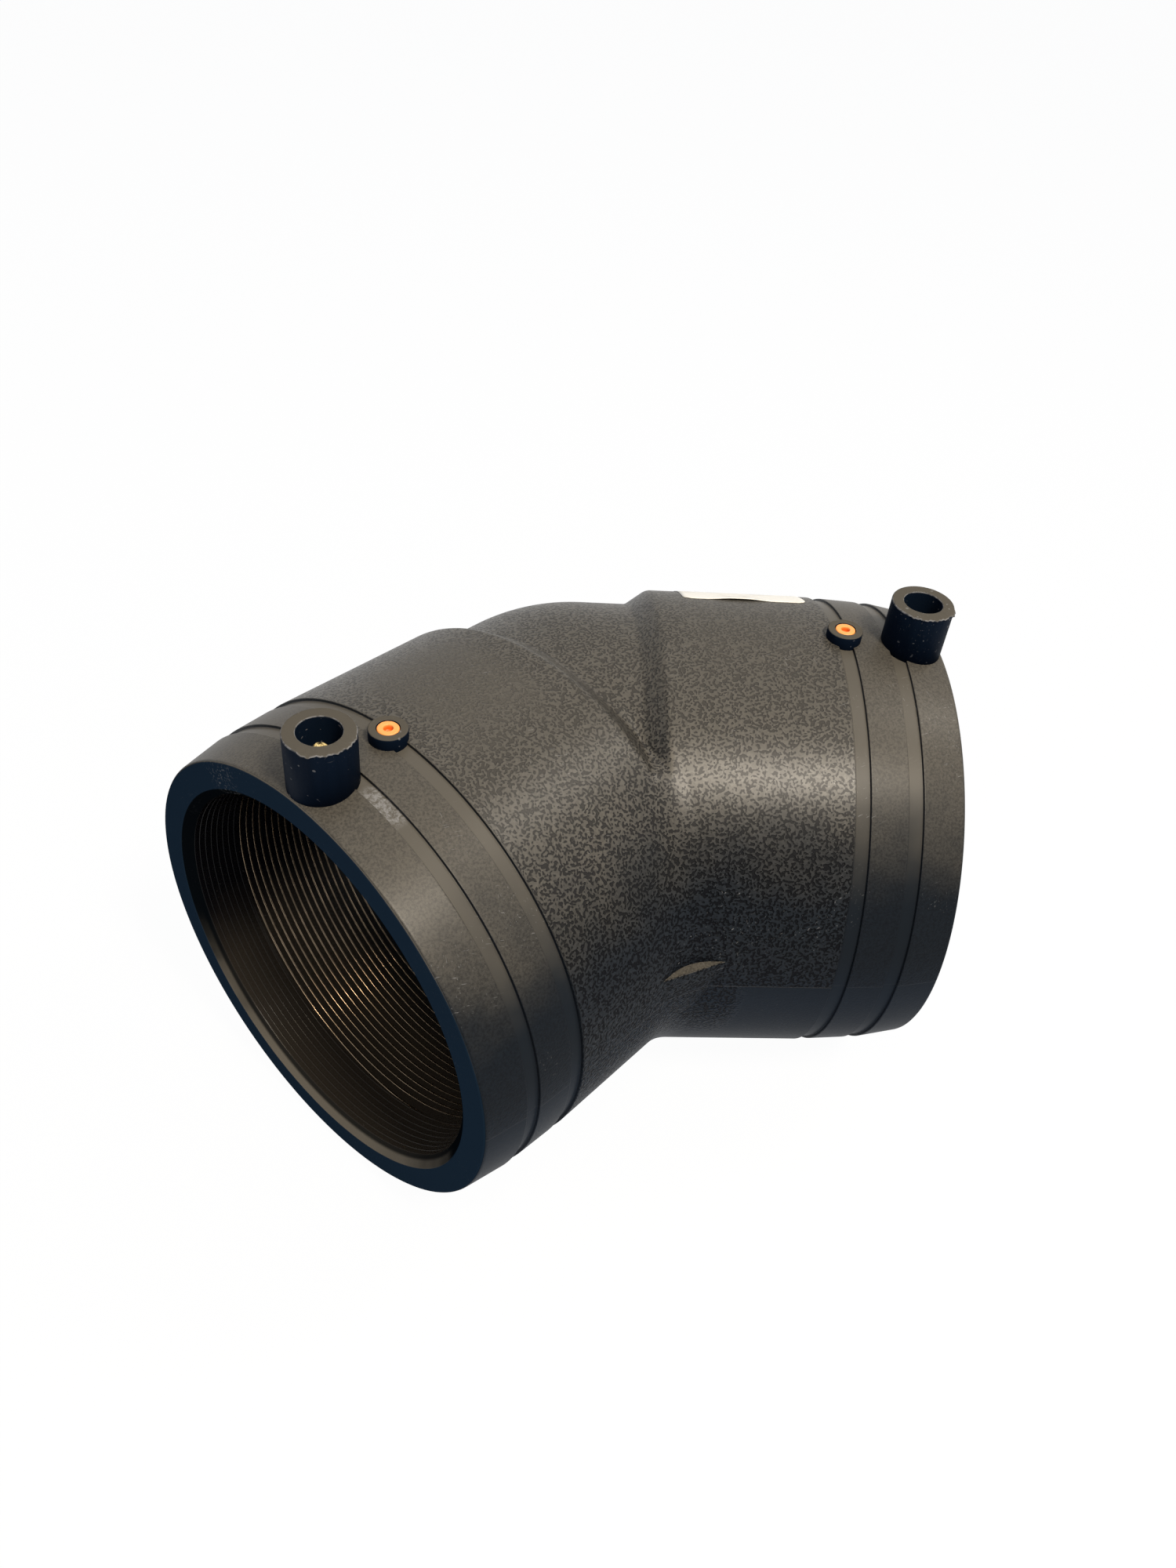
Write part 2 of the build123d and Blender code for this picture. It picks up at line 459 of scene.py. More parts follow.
def new_group(
    name: str, kind: str, inputs: dict[str, str], outputs: dict[str, str]
) -> tuple[Wiring, dict, dict]:
    """Starts a node group.

    Args:
        name: The group's name.
        kind: The type of its tree.
        inputs: Socket types by input name.
        outputs: Socket types by output name.

    Returns:
        The wiring of the tree, its input sockets by name, and the sockets that its outputs come from.
    """
    tree = bpy.data.node_groups.new(name, kind)
    for way, sockets in (("INPUT", inputs), ("OUTPUT", outputs)):
        for socket, socket_type in sockets.items():
            tree.interface.new_socket(socket, in_out=way, socket_type=socket_type)
    wiring = Wiring(tree)
    start = wiring.node("NodeGroupInput")
    end = wiring.node("NodeGroupOutput")
    return wiring, dict(start.outputs.items()), dict(end.inputs.items())


@dataclass(frozen=True)
class SharedEffects:
    """The shader node groups that the finishes share, each built once."""

    places: Tree
    grain: Tree
    scuffs: Tree
    dust_and_sheen: Tree

    @classmethod
    def build(cls, sizes: ElbowSizes) -> "SharedEffects":
        """Builds every group.

        Args:
            sizes: The elbow's sizes.

        Returns:
            The groups.
        """
        return cls(cls._places(sizes), cls._grain(), cls._scuffs(), cls._dust_and_sheen())

    @staticmethod
    def _places(sizes: ElbowSizes) -> Tree:
        """Says where a point is on its socket: from the mouth, round the axis, up and to the side."""
        outputs = {"Point": VECTOR, "From Mouth": FLOAT, "Angle": FLOAT, "Height": FLOAT, "Sideways": FLOAT}
        wiring, _, end = new_group("place_on_socket", "ShaderNodeTree", {}, outputs)
        where = wiring.node("ShaderNodeTexCoord").outputs["Object"]
        centred = wiring.vector_math("SUBTRACT", where, tuple(sizes.crossing()))
        scaled = wiring.node("ShaderNodeVectorMath", {0: centred, "Scale": 1 / MM}, operation="SCALE")
        point = scaled.outputs[0]
        sideways, forward, height = wiring.node("ShaderNodeSeparateXYZ", {0: point}).outputs
        mirrored = wiring.math("ABSOLUTE", sideways)
        cosine = math.cos(sizes.half_bend)
        sine = math.sin(sizes.half_bend)
        along = wiring.math("MULTIPLY_ADD", mirrored, cosine, wiring.product(forward, -sine))
        outward = wiring.math("MULTIPLY_ADD", mirrored, sine, wiring.product(forward, cosine))
        links = wiring.tree.links
        links.new(point, end["Point"])
        links.new(wiring.math("SUBTRACT", sizes.mouth, along), end["From Mouth"])
        links.new(wiring.math("DEGREES", wiring.math("ARCTAN2", height, outward)), end["Angle"])
        links.new(height, end["Height"])
        links.new(sideways, end["Sideways"])
        return wiring.tree

    @staticmethod
    def _grain() -> Tree:
        """A worm-like moulded grain: short winding ridges, close together."""
        inputs = {"Point": VECTOR, "Size": FLOAT, "Valley": FLOAT}
        wiring, start, end = new_group("worm_grain", "ShaderNodeTree", inputs, {"Height": FLOAT})
        ridge_level = 0.44
        scale = wiring.math("DIVIDE", 1.0, start["Size"])
        bend = wiring.node("ShaderNodeTexNoise", {"Vector": start["Point"], "Scale": 0.35, "Detail": 1.0})
        offset = wiring.vector_math("MULTIPLY", bend.outputs[1], (1.4, 1.4, 1.4))
        bent = wiring.vector_math("ADD", start["Point"], offset)
        ridges = wiring.noise(bent, scale, 0.0)
        low = wiring.math("SUBTRACT", ridge_level, start["Valley"])
        high = wiring.math("ADD", start["Valley"], ridge_level)
        elsewhere = wiring.vector_math("ADD", bent, (31.7, 12.1, 54.3))
        uneven = wiring.noise(elsewhere, wiring.product(scale, 0.7), 0.0)
        level = wiring.rise(uneven, (0.35, 0.65), (0.78, 1.0))
        wiring.tree.links.new(wiring.product(wiring.rise(ridges, (low, high)), level), end["Height"])
        return wiring.tree

    @staticmethod
    def _scuffs() -> Tree:
        """Fine scratches in two directions, in patches."""
        wiring, start, end = new_group("scuffs", "ShaderNodeTree", {"Point": VECTOR}, {"Mask": FLOAT})
        directions = ((0.6, (0.25, 3.2, 1.0)), (-0.9, (3.6, 0.3, 1.3)))
        masks = []
        for turn, stretch in directions:
            inputs = {"Vector": start["Point"], "Rotation": (0.2, 0.1, turn), "Scale": stretch}
            turned = wiring.node("ShaderNodeMapping", inputs).outputs[0]
            masks.append(wiring.rise(wiring.noise(turned, 0.9, 3.0, 0.6), (0.66, 0.72)))
        patches = wiring.rise(wiring.noise(start["Point"], 0.045), (0.48, 0.68))
        wiring.tree.links.new(wiring.product(wiring.largest(*masks), patches), end["Mask"])
        return wiring.tree

    @staticmethod
    def _dust_and_sheen() -> Tree:
        """Pale dust and a painted sheen on what faces up, thinning out in patches."""
        inputs = {"Point": VECTOR, "Low": FLOAT, "High": FLOAT}
        wiring, start, end = new_group("dust_and_painted_sheen", "ShaderNodeTree", inputs, {"Mask": FLOAT})
        unevenness = 0.36
        patches = wiring.noise(start["Point"], 0.06, 3.0)
        # What faces up turns pale: dust, and a painted sheen of light from above.
        lowered = wiring.math("SUBTRACT", wiring.upward(), unevenness / 2)
        uneven = wiring.math("MULTIPLY_ADD", patches, unevenness, lowered)
        wiring.tree.links.new(wiring.rise(uneven, (start["Low"], start["High"])), end["Mask"])
        return wiring.tree


def new_material(name: str) -> tuple[Material, Wiring, bpy.types.Node]:
    """Starts a material.

    Args:
        name: The material's name.

    Returns:
        The material, its wiring and its Principled shader.
    """
    material = bpy.data.materials.new(name)
    material.use_nodes = True
    return material, Wiring(material.node_tree), material.node_tree.nodes["Principled BSDF"]


@dataclass(frozen=True)
class Scuff:
    """Whitish streaks on socket A, between two angles in degrees; in the outer groove they are partly a
    painted sheen.
    """

    angles: Span
    edge: float
    scale: float
    detail: float
    roughness: float
    streaks: Span
    strength: float


@dataclass(frozen=True)
class MouldingMasks:
    """Masks of the moulding's marks. Lengths are in millimetres and angles in degrees."""

    wiring: Wiring
    place: Sockets
    past_grooves: Span = (30.8, 31.4)
    grooves: tuple[Span, Span] = ((12.2, 16.2), (26.8, 30.8))
    outer_groove_floor: Span = (12.3, 16.1)
    bend_middle: Span = (-1.0, 1.0)
    grain_edge: Span = (-0.3, 0.3)
    grain_at_top: Span = (50.0, 68.0)
    throat_sides: Span = (12.0, 17.0)
    throat_heights: Span = (-30.0, -12.0)
    panel_from_mouth: Span = (40.0, 72.0)
    panel_angles: Span = (66.0, 100.0)
    panel_waver: float = 24.0
    panel_loss: Span = (0.62, 0.25)
    ledge_facing: Span = (0.90, 0.98)
    ledge_heights: Span = (20.0, 26.0)
    mould_line_heights: Span = (-0.12, 0.12)
    cup_rim_heights: Span = (80.9, 81.4)
    cup_edge_facing: Span = (0.12, 0.88)
    rim_scuff: Scuff = Scuff((57.0, 66.0), 3.0, 1.2, 4.0, 0.75, (0.55, 0.66), 0.45)
    # Whitish streaks in the outer groove: scuffs and a painted sheen.
    groove_scuff_and_sheen: Scuff = Scuff((98.0, 108.0), 1.5, 1.1, 3.0, 0.7, (0.35, 0.65), 0.6)

    def grained(self) -> Socket:
        """Where the deep grain is: the upper half and the throat, inward of the grooves, fainter on top."""
        wiring = self.wiring
        sideways = self.place["Sideways"]
        height = self.place["Height"]
        from_mouth = self.place["From Mouth"]
        throat = wiring.rise(sideways, self.throat_sides, FALLING)
        throat = wiring.product(throat, wiring.rise(height, self.throat_heights))
        upper = wiring.largest(wiring.rise(height, self.grain_edge), throat)
        upper = wiring.product(upper, wiring.rise(height, self.grain_at_top, (1.0, 0.6)))
        patches = wiring.noise(self.place["Point"], 0.12)
        wavering = wiring.math("MULTIPLY_ADD", patches, self.panel_waver, -self.panel_waver / 2)
        across = wiring.band(wiring.total(self.place["Angle"], wavering), self.panel_angles, 9.0)
        panel = wiring.product(wiring.band(from_mouth, self.panel_from_mouth, 5.0), across)
        lost = wiring.product(panel, wiring.rise(sideways, self.bend_middle, self.panel_loss))
        ledge = wiring.rise(wiring.upward(), self.ledge_facing)
        ledge = wiring.product(ledge, wiring.rise(height, self.ledge_heights, FALLING))
        kept = wiring.product(wiring.math("SUBTRACT", 1.0, lost), wiring.math("SUBTRACT", 1.0, ledge))
        return wiring.product(wiring.rise(from_mouth, self.past_grooves), upper, kept)

    def sand(self, grained: Socket) -> Socket:
        """Where the fine sandy grain is: all that lacks the deep grain, but not the groove floors.

        Args:
            grained: The mask of the deep grain.

        Returns:
            A mask.
        """
        wiring = self.wiring
        grooves = [wiring.band(self.place["From Mouth"], groove, 0.15) for groove in self.grooves]
        plain = wiring.math("SUBTRACT", 1.0, wiring.total(*grooves, grained))
        lower = wiring.rise(self.place["Height"], (-0.6, 0.6), (0.35, 1.0))
        return wiring.product(wiring.largest(plain, 0.0), lower)

    def mould_line(self) -> Socket:
        """The thin line that the mould's joint leaves at the height of the axes."""
        line = self.wiring.band(self.place["Height"], self.mould_line_heights, 0.08)
        inward = self.wiring.rise(self.place["From Mouth"], self.past_grooves, (0.02, 0.12))
        return self.wiring.product(line, inward)

    def streaked(self, scuff: Scuff) -> Socket:
        """The mask of a scuff.

        Args:
            scuff: The scuff.

        Returns:
            A mask.
        """
        wiring = self.wiring
        beside = wiring.band(self.place["Angle"], scuff.angles, scuff.edge)
        near = wiring.rise(self.place["Sideways"], self.bend_middle, FALLING)
        pattern = wiring.noise(self.place["Point"], scuff.scale, scuff.detail, scuff.roughness)
        return wiring.product(beside, near, wiring.rise(pattern, scuff.streaks), scuff.strength)

    def groove_streaks_and_sheen(self) -> Socket:
        """The whitish patch in the outer groove, beside the terminal of socket A: scuffs and a painted sheen.
        """
        floor = self.wiring.band(self.place["From Mouth"], self.outer_groove_floor, 0.3)
        return self.wiring.product(floor, self.streaked(self.groove_scuff_and_sheen))

    def cup_wear(self) -> Socket:
        """The rubbed outer edge of a cup's rim and the few pale specks on its side."""
        wiring = self.wiring
        point = self.place["Point"]
        edge = wiring.rise(self.place["Height"], self.cup_rim_heights)
        edge = wiring.product(edge, wiring.band(wiring.upward(), self.cup_edge_facing, 0.1))
        edge = wiring.product(edge, wiring.rise(wiring.noise(point, 0.9), (0.38, 0.6), (0.15, 0.55)))
        specks = wiring.rise(wiring.noise(point, 0.85, 0.0), (0.80, 0.82), (0.0, 0.35))
        return wiring.largest(edge, specks)


@dataclass(frozen=True)
class Finish:
    """A material made with the shared node groups."""

    name: str
    relief_strength: ClassVar[float] = 1.0

    def surface(self, wiring: Wiring, place: Sockets, effects: SharedEffects) -> Inputs:
        """Says what goes into the shader.

        Args:
            wiring: The material's wiring.
            place: The outputs of the group that says where a point is.
            effects: The shared node groups.

        Returns:
            Values or sockets by the name of the shader's input, and the relief in millimetres as Height.
        """
        raise NotImplementedError

    def build(self, effects: SharedEffects) -> Material:
        """Builds the material.

        Args:
            effects: The shared node groups.

        Returns:
            The material.
        """
        material, wiring, shader = new_material(self.name)
        inputs = self.surface(wiring, wiring.group(effects.places), effects)
        relief = {"Strength": self.relief_strength, "Distance": MM, "Height": inputs.pop("Height")}
        inputs["Normal"] = wiring.node("ShaderNodeBump", relief).outputs[0]
        wiring.fill(shader, inputs)
        return material


@dataclass(frozen=True)
class PolyethyleneFinish(Finish):
    """Black moulded polyethylene, with dust and a painted sheen on what faces up."""

    zone: Zone
    deep: Colour = (0.0095, 0.0125, 0.0165, 1.0)
    # Bluer, lighter black for the lower half: a painted reflection of a blue surface below.
    lower: Colour = (0.0105, 0.0155, 0.0235, 1.0)
    # Near black: painted shade on the lead-in chamfer inside the mouth.
    lead_in: Colour = (0.002, 0.003, 0.004, 1.0)
    # The colour of dust and of the painted sheen on what faces up.
    dust_and_sheen_colour: Colour = (0.077, 0.070, 0.057, 1.0)
    scuffed: Colour = (0.26, 0.26, 0.26, 1.0)
    # Painted shade: the colour that the grain's valleys and the sand's pits are darkened to.
    valley: Colour = (0.0045, 0.0045, 0.0055, 1.0)
    dust_and_sheen_from: float = 0.34
    dust_and_sheen_to: float = 0.90
    roughness: float = 0.40
    specular: float = 0.02
    polish: float = 0.56
    glint: float = 0.17
    coat_roughness: float = 0.36
    grain_size: float = 0.76
    grain_valley: float = 0.08
    grain_depth: float = 0.75
    sand_depth: float = 0.20

    def surface(self, wiring: Wiring, place: Sockets, effects: SharedEffects) -> Inputs:
        """Says what goes into the shader.

        Args:
            wiring: The material's wiring.
            place: The outputs of the group that says where a point is.
            effects: The shared node groups.

        Returns:
            Values or sockets by the name of the shader's input, and the relief in millimetres as Height.
        """
        point = place["Point"]
        masks = MouldingMasks(wiring, place)
        scuff = wiring.group(effects.scuffs, {"Point": point})["Mask"]
        # Dust and a painted sheen lighten what faces up.
        dust_and_sheen_inputs = {"Point": point, "Low": self.dust_and_sheen_from, "High": self.dust_and_sheen_to}
        dust_and_sheen = wiring.group(effects.dust_and_sheen, dust_and_sheen_inputs)["Mask"]
        speckle = wiring.noise(point, 1.5, 3.0, 0.7)
        extra = {}
        if self.zone is Zone.OUTSIDE:
            grain_inputs = {"Point": point, "Size": self.grain_size, "Valley": self.grain_valley}
            worms = wiring.group(effects.grain, grain_inputs)["Height"]
            base, scuff, height, coat = self._outside(masks, worms, dust_and_sheen, scuff, speckle)
            extra = {"Coat Weight": coat, "Coat Roughness": self.coat_roughness}
        elif self.zone is Zone.RIM:
            from_mouth = place["From Mouth"]
            # Away from the mouth's flat face the rim turns near black: painted shade on the lead-in chamfer.
            deep = wiring.blend(wiring.rise(from_mouth, (0.05, 0.25)), self.deep, self.lead_in)
            edge = wiring.rise(from_mouth, (1.2, 1.9), (1.0, 0.12))
            # On the rim's edge, dust and a painted sheen lighten what faces up.
            base = wiring.blend(wiring.product(dust_and_sheen, edge), deep, self.dust_and_sheen_colour)
            scuff = wiring.largest(wiring.product(scuff, 0.12), masks.streaked(masks.rim_scuff))
            height = wiring.product(speckle, 0.01)
        elif self.zone is Zone.BORE:
            # Inside the bore, dust and a painted sheen lighten what faces up.
            base = wiring.blend(wiring.product(dust_and_sheen, 0.26), self.deep, self.dust_and_sheen_colour)
            scuff = wiring.product(scuff, 0.15)
            height = wiring.product(speckle, 0.012)
        else:
            base = wiring.blend(dust_and_sheen, self.deep, self.dust_and_sheen_colour)
            scuff = wiring.largest(wiring.product(scuff, 0.3), masks.cup_wear())
            height = wiring.product(speckle, 0.015)
        rough = wiring.math("MULTIPLY_ADD", speckle, 0.10, self.roughness - 0.05)
        return {
            "Base Color": wiring.blend(scuff, base, self.scuffed),
            "Roughness": wiring.math("MULTIPLY_ADD", scuff, 0.2, rough),
            "Specular IOR Level": self.specular,
            "Height": height,
            **extra,
        }

    def _outside(
        self, masks: MouldingMasks, worms: Socket, dust_and_sheen: Socket, scuff: Socket, speckle: Socket
    ) -> tuple[Socket, Socket, Socket, Socket]:
        """The outside, with its grain, its mould line and its rubbed upper parts.

        Args:
            masks: The masks of the moulding's marks.
            worms: The grain as if it were everywhere.
            dust_and_sheen: The mask of the dust and the painted sheen on what faces up.
            scuff: The mask of the scratches.
            speckle: A fine noise.

        Returns:
            The base colour, the mask of what is scuffed, the relief in millimetres and the gloss.
        """
        wiring = masks.wiring
        up = masks.place["Height"]
        line = masks.mould_line()
        grained = masks.grained()
        sand = masks.sand(grained)
        relief = wiring.product(worms, grained)
        fine = wiring.product(sand, speckle, self.sand_depth)
        height = wiring.total(wiring.product(relief, self.grain_depth), fine, line)
        # Below the axes the black turns bluer and lighter: a painted reflection of a blue surface below.
        deep = wiring.blend(wiring.rise(up, (-10.0, 14.0), FALLING), self.deep, self.lower)
        # Painted shade: the grain's valleys and the sand's pits are darkened towards the valley colour.
        sunk = wiring.product(wiring.math("SUBTRACT", grained, relief), 0.80)
        pit_shade = wiring.product(sand, wiring.rise(speckle, (0.35, 0.62), (0.45, 0.0)))
        base = wiring.blend(wiring.largest(sunk, pit_shade), wiring.blend(dust_and_sheen, deep, self.dust_and_sheen_colour), self.valley)
        scuff = wiring.product(scuff, wiring.rise(up, (0.0, 20.0), (0.12, 0.5)))
        # The outer groove's whitish patch is scuffs and partly a painted sheen.
        scuff = wiring.largest(scuff, line, masks.groove_streaks_and_sheen())
        rubbed = wiring.rise(up, (30.0, 54.0), (0.0, self.polish))
        rubbed = wiring.product(rubbed, wiring.math("MULTIPLY_ADD", relief, 0.46, 0.54))
        glints = wiring.product(relief, wiring.rise(up, (-6.0, 12.0), (0.0, self.glint)))
        return base, scuff, height, wiring.largest(rubbed, glints)


@dataclass(frozen=True)
class MetalFinish(Finish):
    """A bare metal that darkens and gets small dents."""

    bright: Colour
    dull: Colour
    roughness: float
    dent_scale: float
    dent_depth: float

    def surface(self, wiring: Wiring, place: Sockets, effects: SharedEffects) -> Inputs:
        """Says what goes into the shader, as the other finishes do."""
        patches = wiring.noise(place["Point"], self.dent_scale * 0.3)
        dents = wiring.noise(place["Point"], self.dent_scale)
        return {
            "Base Color": wiring.blend(wiring.rise(patches, (0.35, 0.7)), self.bright, self.dull),
            "Metallic": 1.0,
            "Roughness": wiring.rise(patches, (0.3, 0.7), (self.roughness - 0.07, self.roughness + 0.12)),
            "Height": wiring.product(dents, self.dent_depth),
        }


@dataclass(frozen=True)
class OrangeFinish(Finish):
    """Orange moulded plastic, lighter on the rim at the top and darker below it."""

    name: str = "orange_plastic"
    bright: Colour = (0.90, 0.35, 0.085, 1.0)
    deep: Colour = (0.74, 0.14, 0.012, 1.0)
    rim_heights: Span = (71.0, 71.9)

    def surface(self, wiring: Wiring, place: Sockets, effects: SharedEffects) -> Inputs:
        """Says what goes into the shader, as the other finishes do."""
        top = wiring.rise(place["Height"], self.rim_heights)
        mottled = wiring.rise(wiring.noise(place["Point"], 1.4, 3.0), (0.25, 0.8), (0.12, 0.0))
        share = wiring.largest(wiring.math("SUBTRACT", top, mottled), 0.0)
        return {
            "Base Color": wiring.blend(share, self.deep, self.bright),
            "Roughness": 0.4,
            "Height": wiring.product(wiring.noise(place["Point"], 3.0), 0.03),
        }


@dataclass(frozen=True)
class PaperFinish(Finish):
    """A cream white sticker, slightly soiled."""

    name: str = "label_paper"
    clean: Colour = (0.80, 0.78, 0.71, 1.0)
    soiled: Colour = (0.58, 0.55, 0.48, 1.0)
    relief_strength: ClassVar[float] = 0.8

    def surface(self, wiring: Wiring, place: Sockets, effects: SharedEffects) -> Inputs:
        """Says what goes into the shader, as the other finishes do."""
        point = place["Point"]
        soil = wiring.rise(wiring.noise(point, 0.12, 4.0, 0.6), (0.5, 0.8))
        fibres = wiring.product(wiring.noise(point, 1.6, 3.0), 0.02)
        creases = wiring.product(wiring.noise(point, 0.15, 1.0), 0.25)
        return {
            "Base Color": wiring.blend(soil, self.clean, self.soiled),
            "Roughness": 0.5,
            "Height": wiring.total(fibres, creases),
        }


@dataclass(frozen=True)
class Finishes:
    """Every material of the elbow."""

    moulding: dict[Zone, Material]
    wire: Material
    brass: Material
    orange: Material
    paper: Material

    @classmethod
    def build(cls, effects: SharedEffects) -> "Finishes":
        """Builds every material.

        Args:
            effects: The shared node groups.

        Returns:
            The materials.
        """
        wire = MetalFinish("bare_wire", (0.30, 0.23, 0.16, 1.0), (0.18, 0.14, 0.10, 1.0), 0.27, 0.5, 0.001)
        brass = MetalFinish("turned_brass", (0.86, 0.66, 0.30, 1.0), (0.60, 0.42, 0.16, 1.0), 0.28, 1.6, 0.30)
        return cls(
            moulding={finish.zone: finish.build(effects) for finish in cls._moulded()},
            wire=wire.build(effects),
            brass=brass.build(effects),
            orange=OrangeFinish().build(effects),
            paper=PaperFinish().build(effects),
        )

    @staticmethod
    def _moulded() -> list[PolyethyleneFinish]:
        """The black finishes, one for each zone of the moulding."""
        return [
            PolyethyleneFinish("grained_polyethylene", Zone.OUTSIDE),
            # The rim's navy black is a painted reflection of a blue surface.
            PolyethyleneFinish(
                "rim_polyethylene", Zone.RIM, deep=(0.0095, 0.0200, 0.0345, 1.0),
                dust_and_sheen_colour=(0.135, 0.120, 0.094, 1.0), dust_and_sheen_from=0.14, dust_and_sheen_to=0.66, roughness=0.5, specular=0.0
            ),
            # The cups' navy black is a painted reflection of a blue surface.
            PolyethyleneFinish(
                "cup_polyethylene", Zone.CUP, deep=(0.0036, 0.0078, 0.0165, 1.0), roughness=0.5, specular=0.01
            ),
            PolyethyleneFinish(
                "bore_polyethylene", Zone.BORE, deep=(0.002, 0.002, 0.003, 1.0),
                dust_and_sheen_colour=(0.085, 0.070, 0.050, 1.0), dust_and_sheen_from=0.16, dust_and_sheen_to=0.62, roughness=0.27, specular=0.12
            ),
        ]


# The moulding


@dataclass
class Moulding:
    """The one black moulding: both sockets, the bend, the throat, the cups and the bosses."""

    sizes: ElbowSizes
    around: int = 240
    first_plain: float = 34.0
    groove_depth: float = 0.8
    shoulder: float = 20.3
    shoulder_foot: float = 14.1
    valley_end: float = 54.7
    throat_blend: float = 6.5
    hidden_face: float = 30.06
    web_face: float = 78.2
    web_top: float = 9.5
    web_fade: float = 26.0
    cup_radius: float = 8.6
    cup_hole: float = 5.35
    cup_top: float = 81.79
    cup_floor: float = 69.3
    boss_radius: float = 4.95
    boss_hole: float = 2.95
    boss_top: float = 72.0
    wire_bed: float = 55.47
    inner_groove: tuple[float, float] = (69.85, 73.95)
    outer_groove: tuple[float, float] = (84.45, 88.55)
    middle_band: tuple[float, float] = (68.98, 68.42)
    coil_recess: tuple[float, float] = (84.4, 44.9)
    passage_rows: int = 12
    web_columns: int = 25
    web_rows: int = 14

    def outside_profile(self) -> Profile:
        """The outside of a socket from its plain part to the mouth's edge, as (along, radius)."""
        whole = self.sizes
        depth = self.groove_depth
        corners = [(self.first_plain, whole.outside)]
        edges = (
            (self.inner_groove, (whole.outside, self.middle_band[0])),
            (self.outer_groove, (self.middle_band[1], whole.end_band)),
        )
        for (start, end), (before, after) in edges:
            corners += [(start, before), (start, before - depth), (end, after - depth), (end, after)]
        corners += [(whole.mouth, whole.mouth_outside), (whole.mouth, whole.bore + 5.6)]
        radii = [0.18, 0.15, 0.15, 0.25, 0.18, 0.15, 0.15, 0.25, 0.8]
        return rounded_outline(corners, radii)

    def inside_profile(self) -> Profile:
        """The inside of a socket from the mouth's rim to the pipe stop, as (along, radius)."""
        whole = self.sizes
        recess_start, recess_end = self.coil_recess
        corners = [
            (whole.mouth, whole.bore + 4.6),
            (whole.mouth, whole.bore + 2.8),
            (98.2, whole.bore),
            (84.7, whole.bore),
            (recess_start, self.wire_bed),
            (recess_end, self.wire_bed),
            (44.6, whole.bore),
            (whole.stop, whole.bore),
            (whole.stop, whole.passage),
            (whole.stop - 4.0, whole.passage),
        ]
        return rounded_outline(corners, [0.35, 0.8, 0.1, 0.1, 0.1, 0.1, 0.4, 0.6])

    def shoulder_radius(self, along: Array) -> Array:
        """The radius of the bend and a socket's rounded shoulder, without the throat.

        Args:
            along: Distances along the socket, negative past the middle of the bend.

        Returns:
            The radii.
        """
        whole = self.sizes
        corners = [
            (0.0, whole.bend_outside),
            (self.shoulder_foot, whole.bend_outside),
            (self.shoulder, whole.outside),
            (60.0, whole.outside),
        ]
        outline = rounded_outline(corners, [2.6, 3.2], 10)
        socket = np.interp(along, [point[0] for point in outline], [point[1] for point in outline])
        ball = np.sqrt(whole.bend_outside**2 - np.minimum(along, 0) ** 2)
        return np.where(along < 0, ball, socket)

    def throat_radius(self, along: Array, angle: Array) -> Array:
        """The radius of the blended throat on the inner side of the bend, or 0 where there is none.

        Args:
            along: Distances along the socket.
            angle: Angles round it, from the outer side of the bend.

        Returns:
            The radii.
        """
        cosine = math.cos(self.sizes.half_bend)
        sine = math.sin(self.sizes.half_bend)
        radius = np.full(np.broadcast(along, angle).shape, self.sizes.outside)
        reach = self.throat_blend
        for _ in range(8):
            from_mitre = np.abs(along * cosine + radius * np.cos(angle) * sine)
            soft = np.where(from_mitre < reach, (from_mitre**2 + reach**2) / (2 * reach), from_mitre)
            added = (soft - from_mitre) * sine
            radius = -np.cos(angle) * added + np.sqrt(self.sizes.outside**2 - (added * np.sin(angle)) ** 2)
        ceiling = self.valley_end / np.maximum(np.abs(np.sin(angle)), 0.01)
        rounding = 1.2
        gap = np.maximum(rounding - np.abs(radius - ceiling), 0) / rounding
        limited = np.minimum(radius, ceiling) - gap**2 * rounding / 4
        forward = -along * sine + limited * np.cos(angle) * cosine
        return np.where(forward < -self.hidden_face, limited, 0.0)

    def outer_radius(self, along: Array, angle: Array) -> Array:
        """The radius of the whole outside near the bend.

        Args:
            along: Distances along the socket.
            angle: Angles round it, from the outer side of the bend.

        Returns:
            The radii.
        """
        plain = self.shoulder_radius(along)
        throat = self.throat_radius(along, angle)
        rounding = 1.6 * (1 - ease(along, 15.0, 19.0)) + 0.001
        gap = np.maximum(rounding - np.abs(plain - throat), 0) / rounding
        return np.minimum(np.maximum(plain, throat) + gap**2 * rounding / 4, self.sizes.outside + 3.0)

    def near_bend(self, angle: Array) -> tuple[Array, Array]:
        """The rows of the outside from the middle of the bend to the plain part of a socket.

        Args:
            angle: The angle of each column.

        Returns:
            Distances along the socket and radii, one row each.
        """
        radius = np.full(angle.shape, self.sizes.outside)
        for _ in range(60):
            mitre = -radius * np.cos(angle) * self.sizes.slope
            radius = self.outer_radius(mitre, angle)
        room = self.first_plain - mitre
        foot = np.maximum(12.0, mitre + 0.3 * room)
        top = np.maximum(22.5, mitre + 0.7 * room)
        rows = []
        for start, end, count in ((mitre, foot, 22), (foot, top, 22), (top, self.first_plain, 6)):
            rows += [start + (end - start) * step / count for step in range(count)]
        along = np.array(rows)
        radii = self.outer_radius(along, angle[None, :])
        radii[0] = radius
        return along, radii

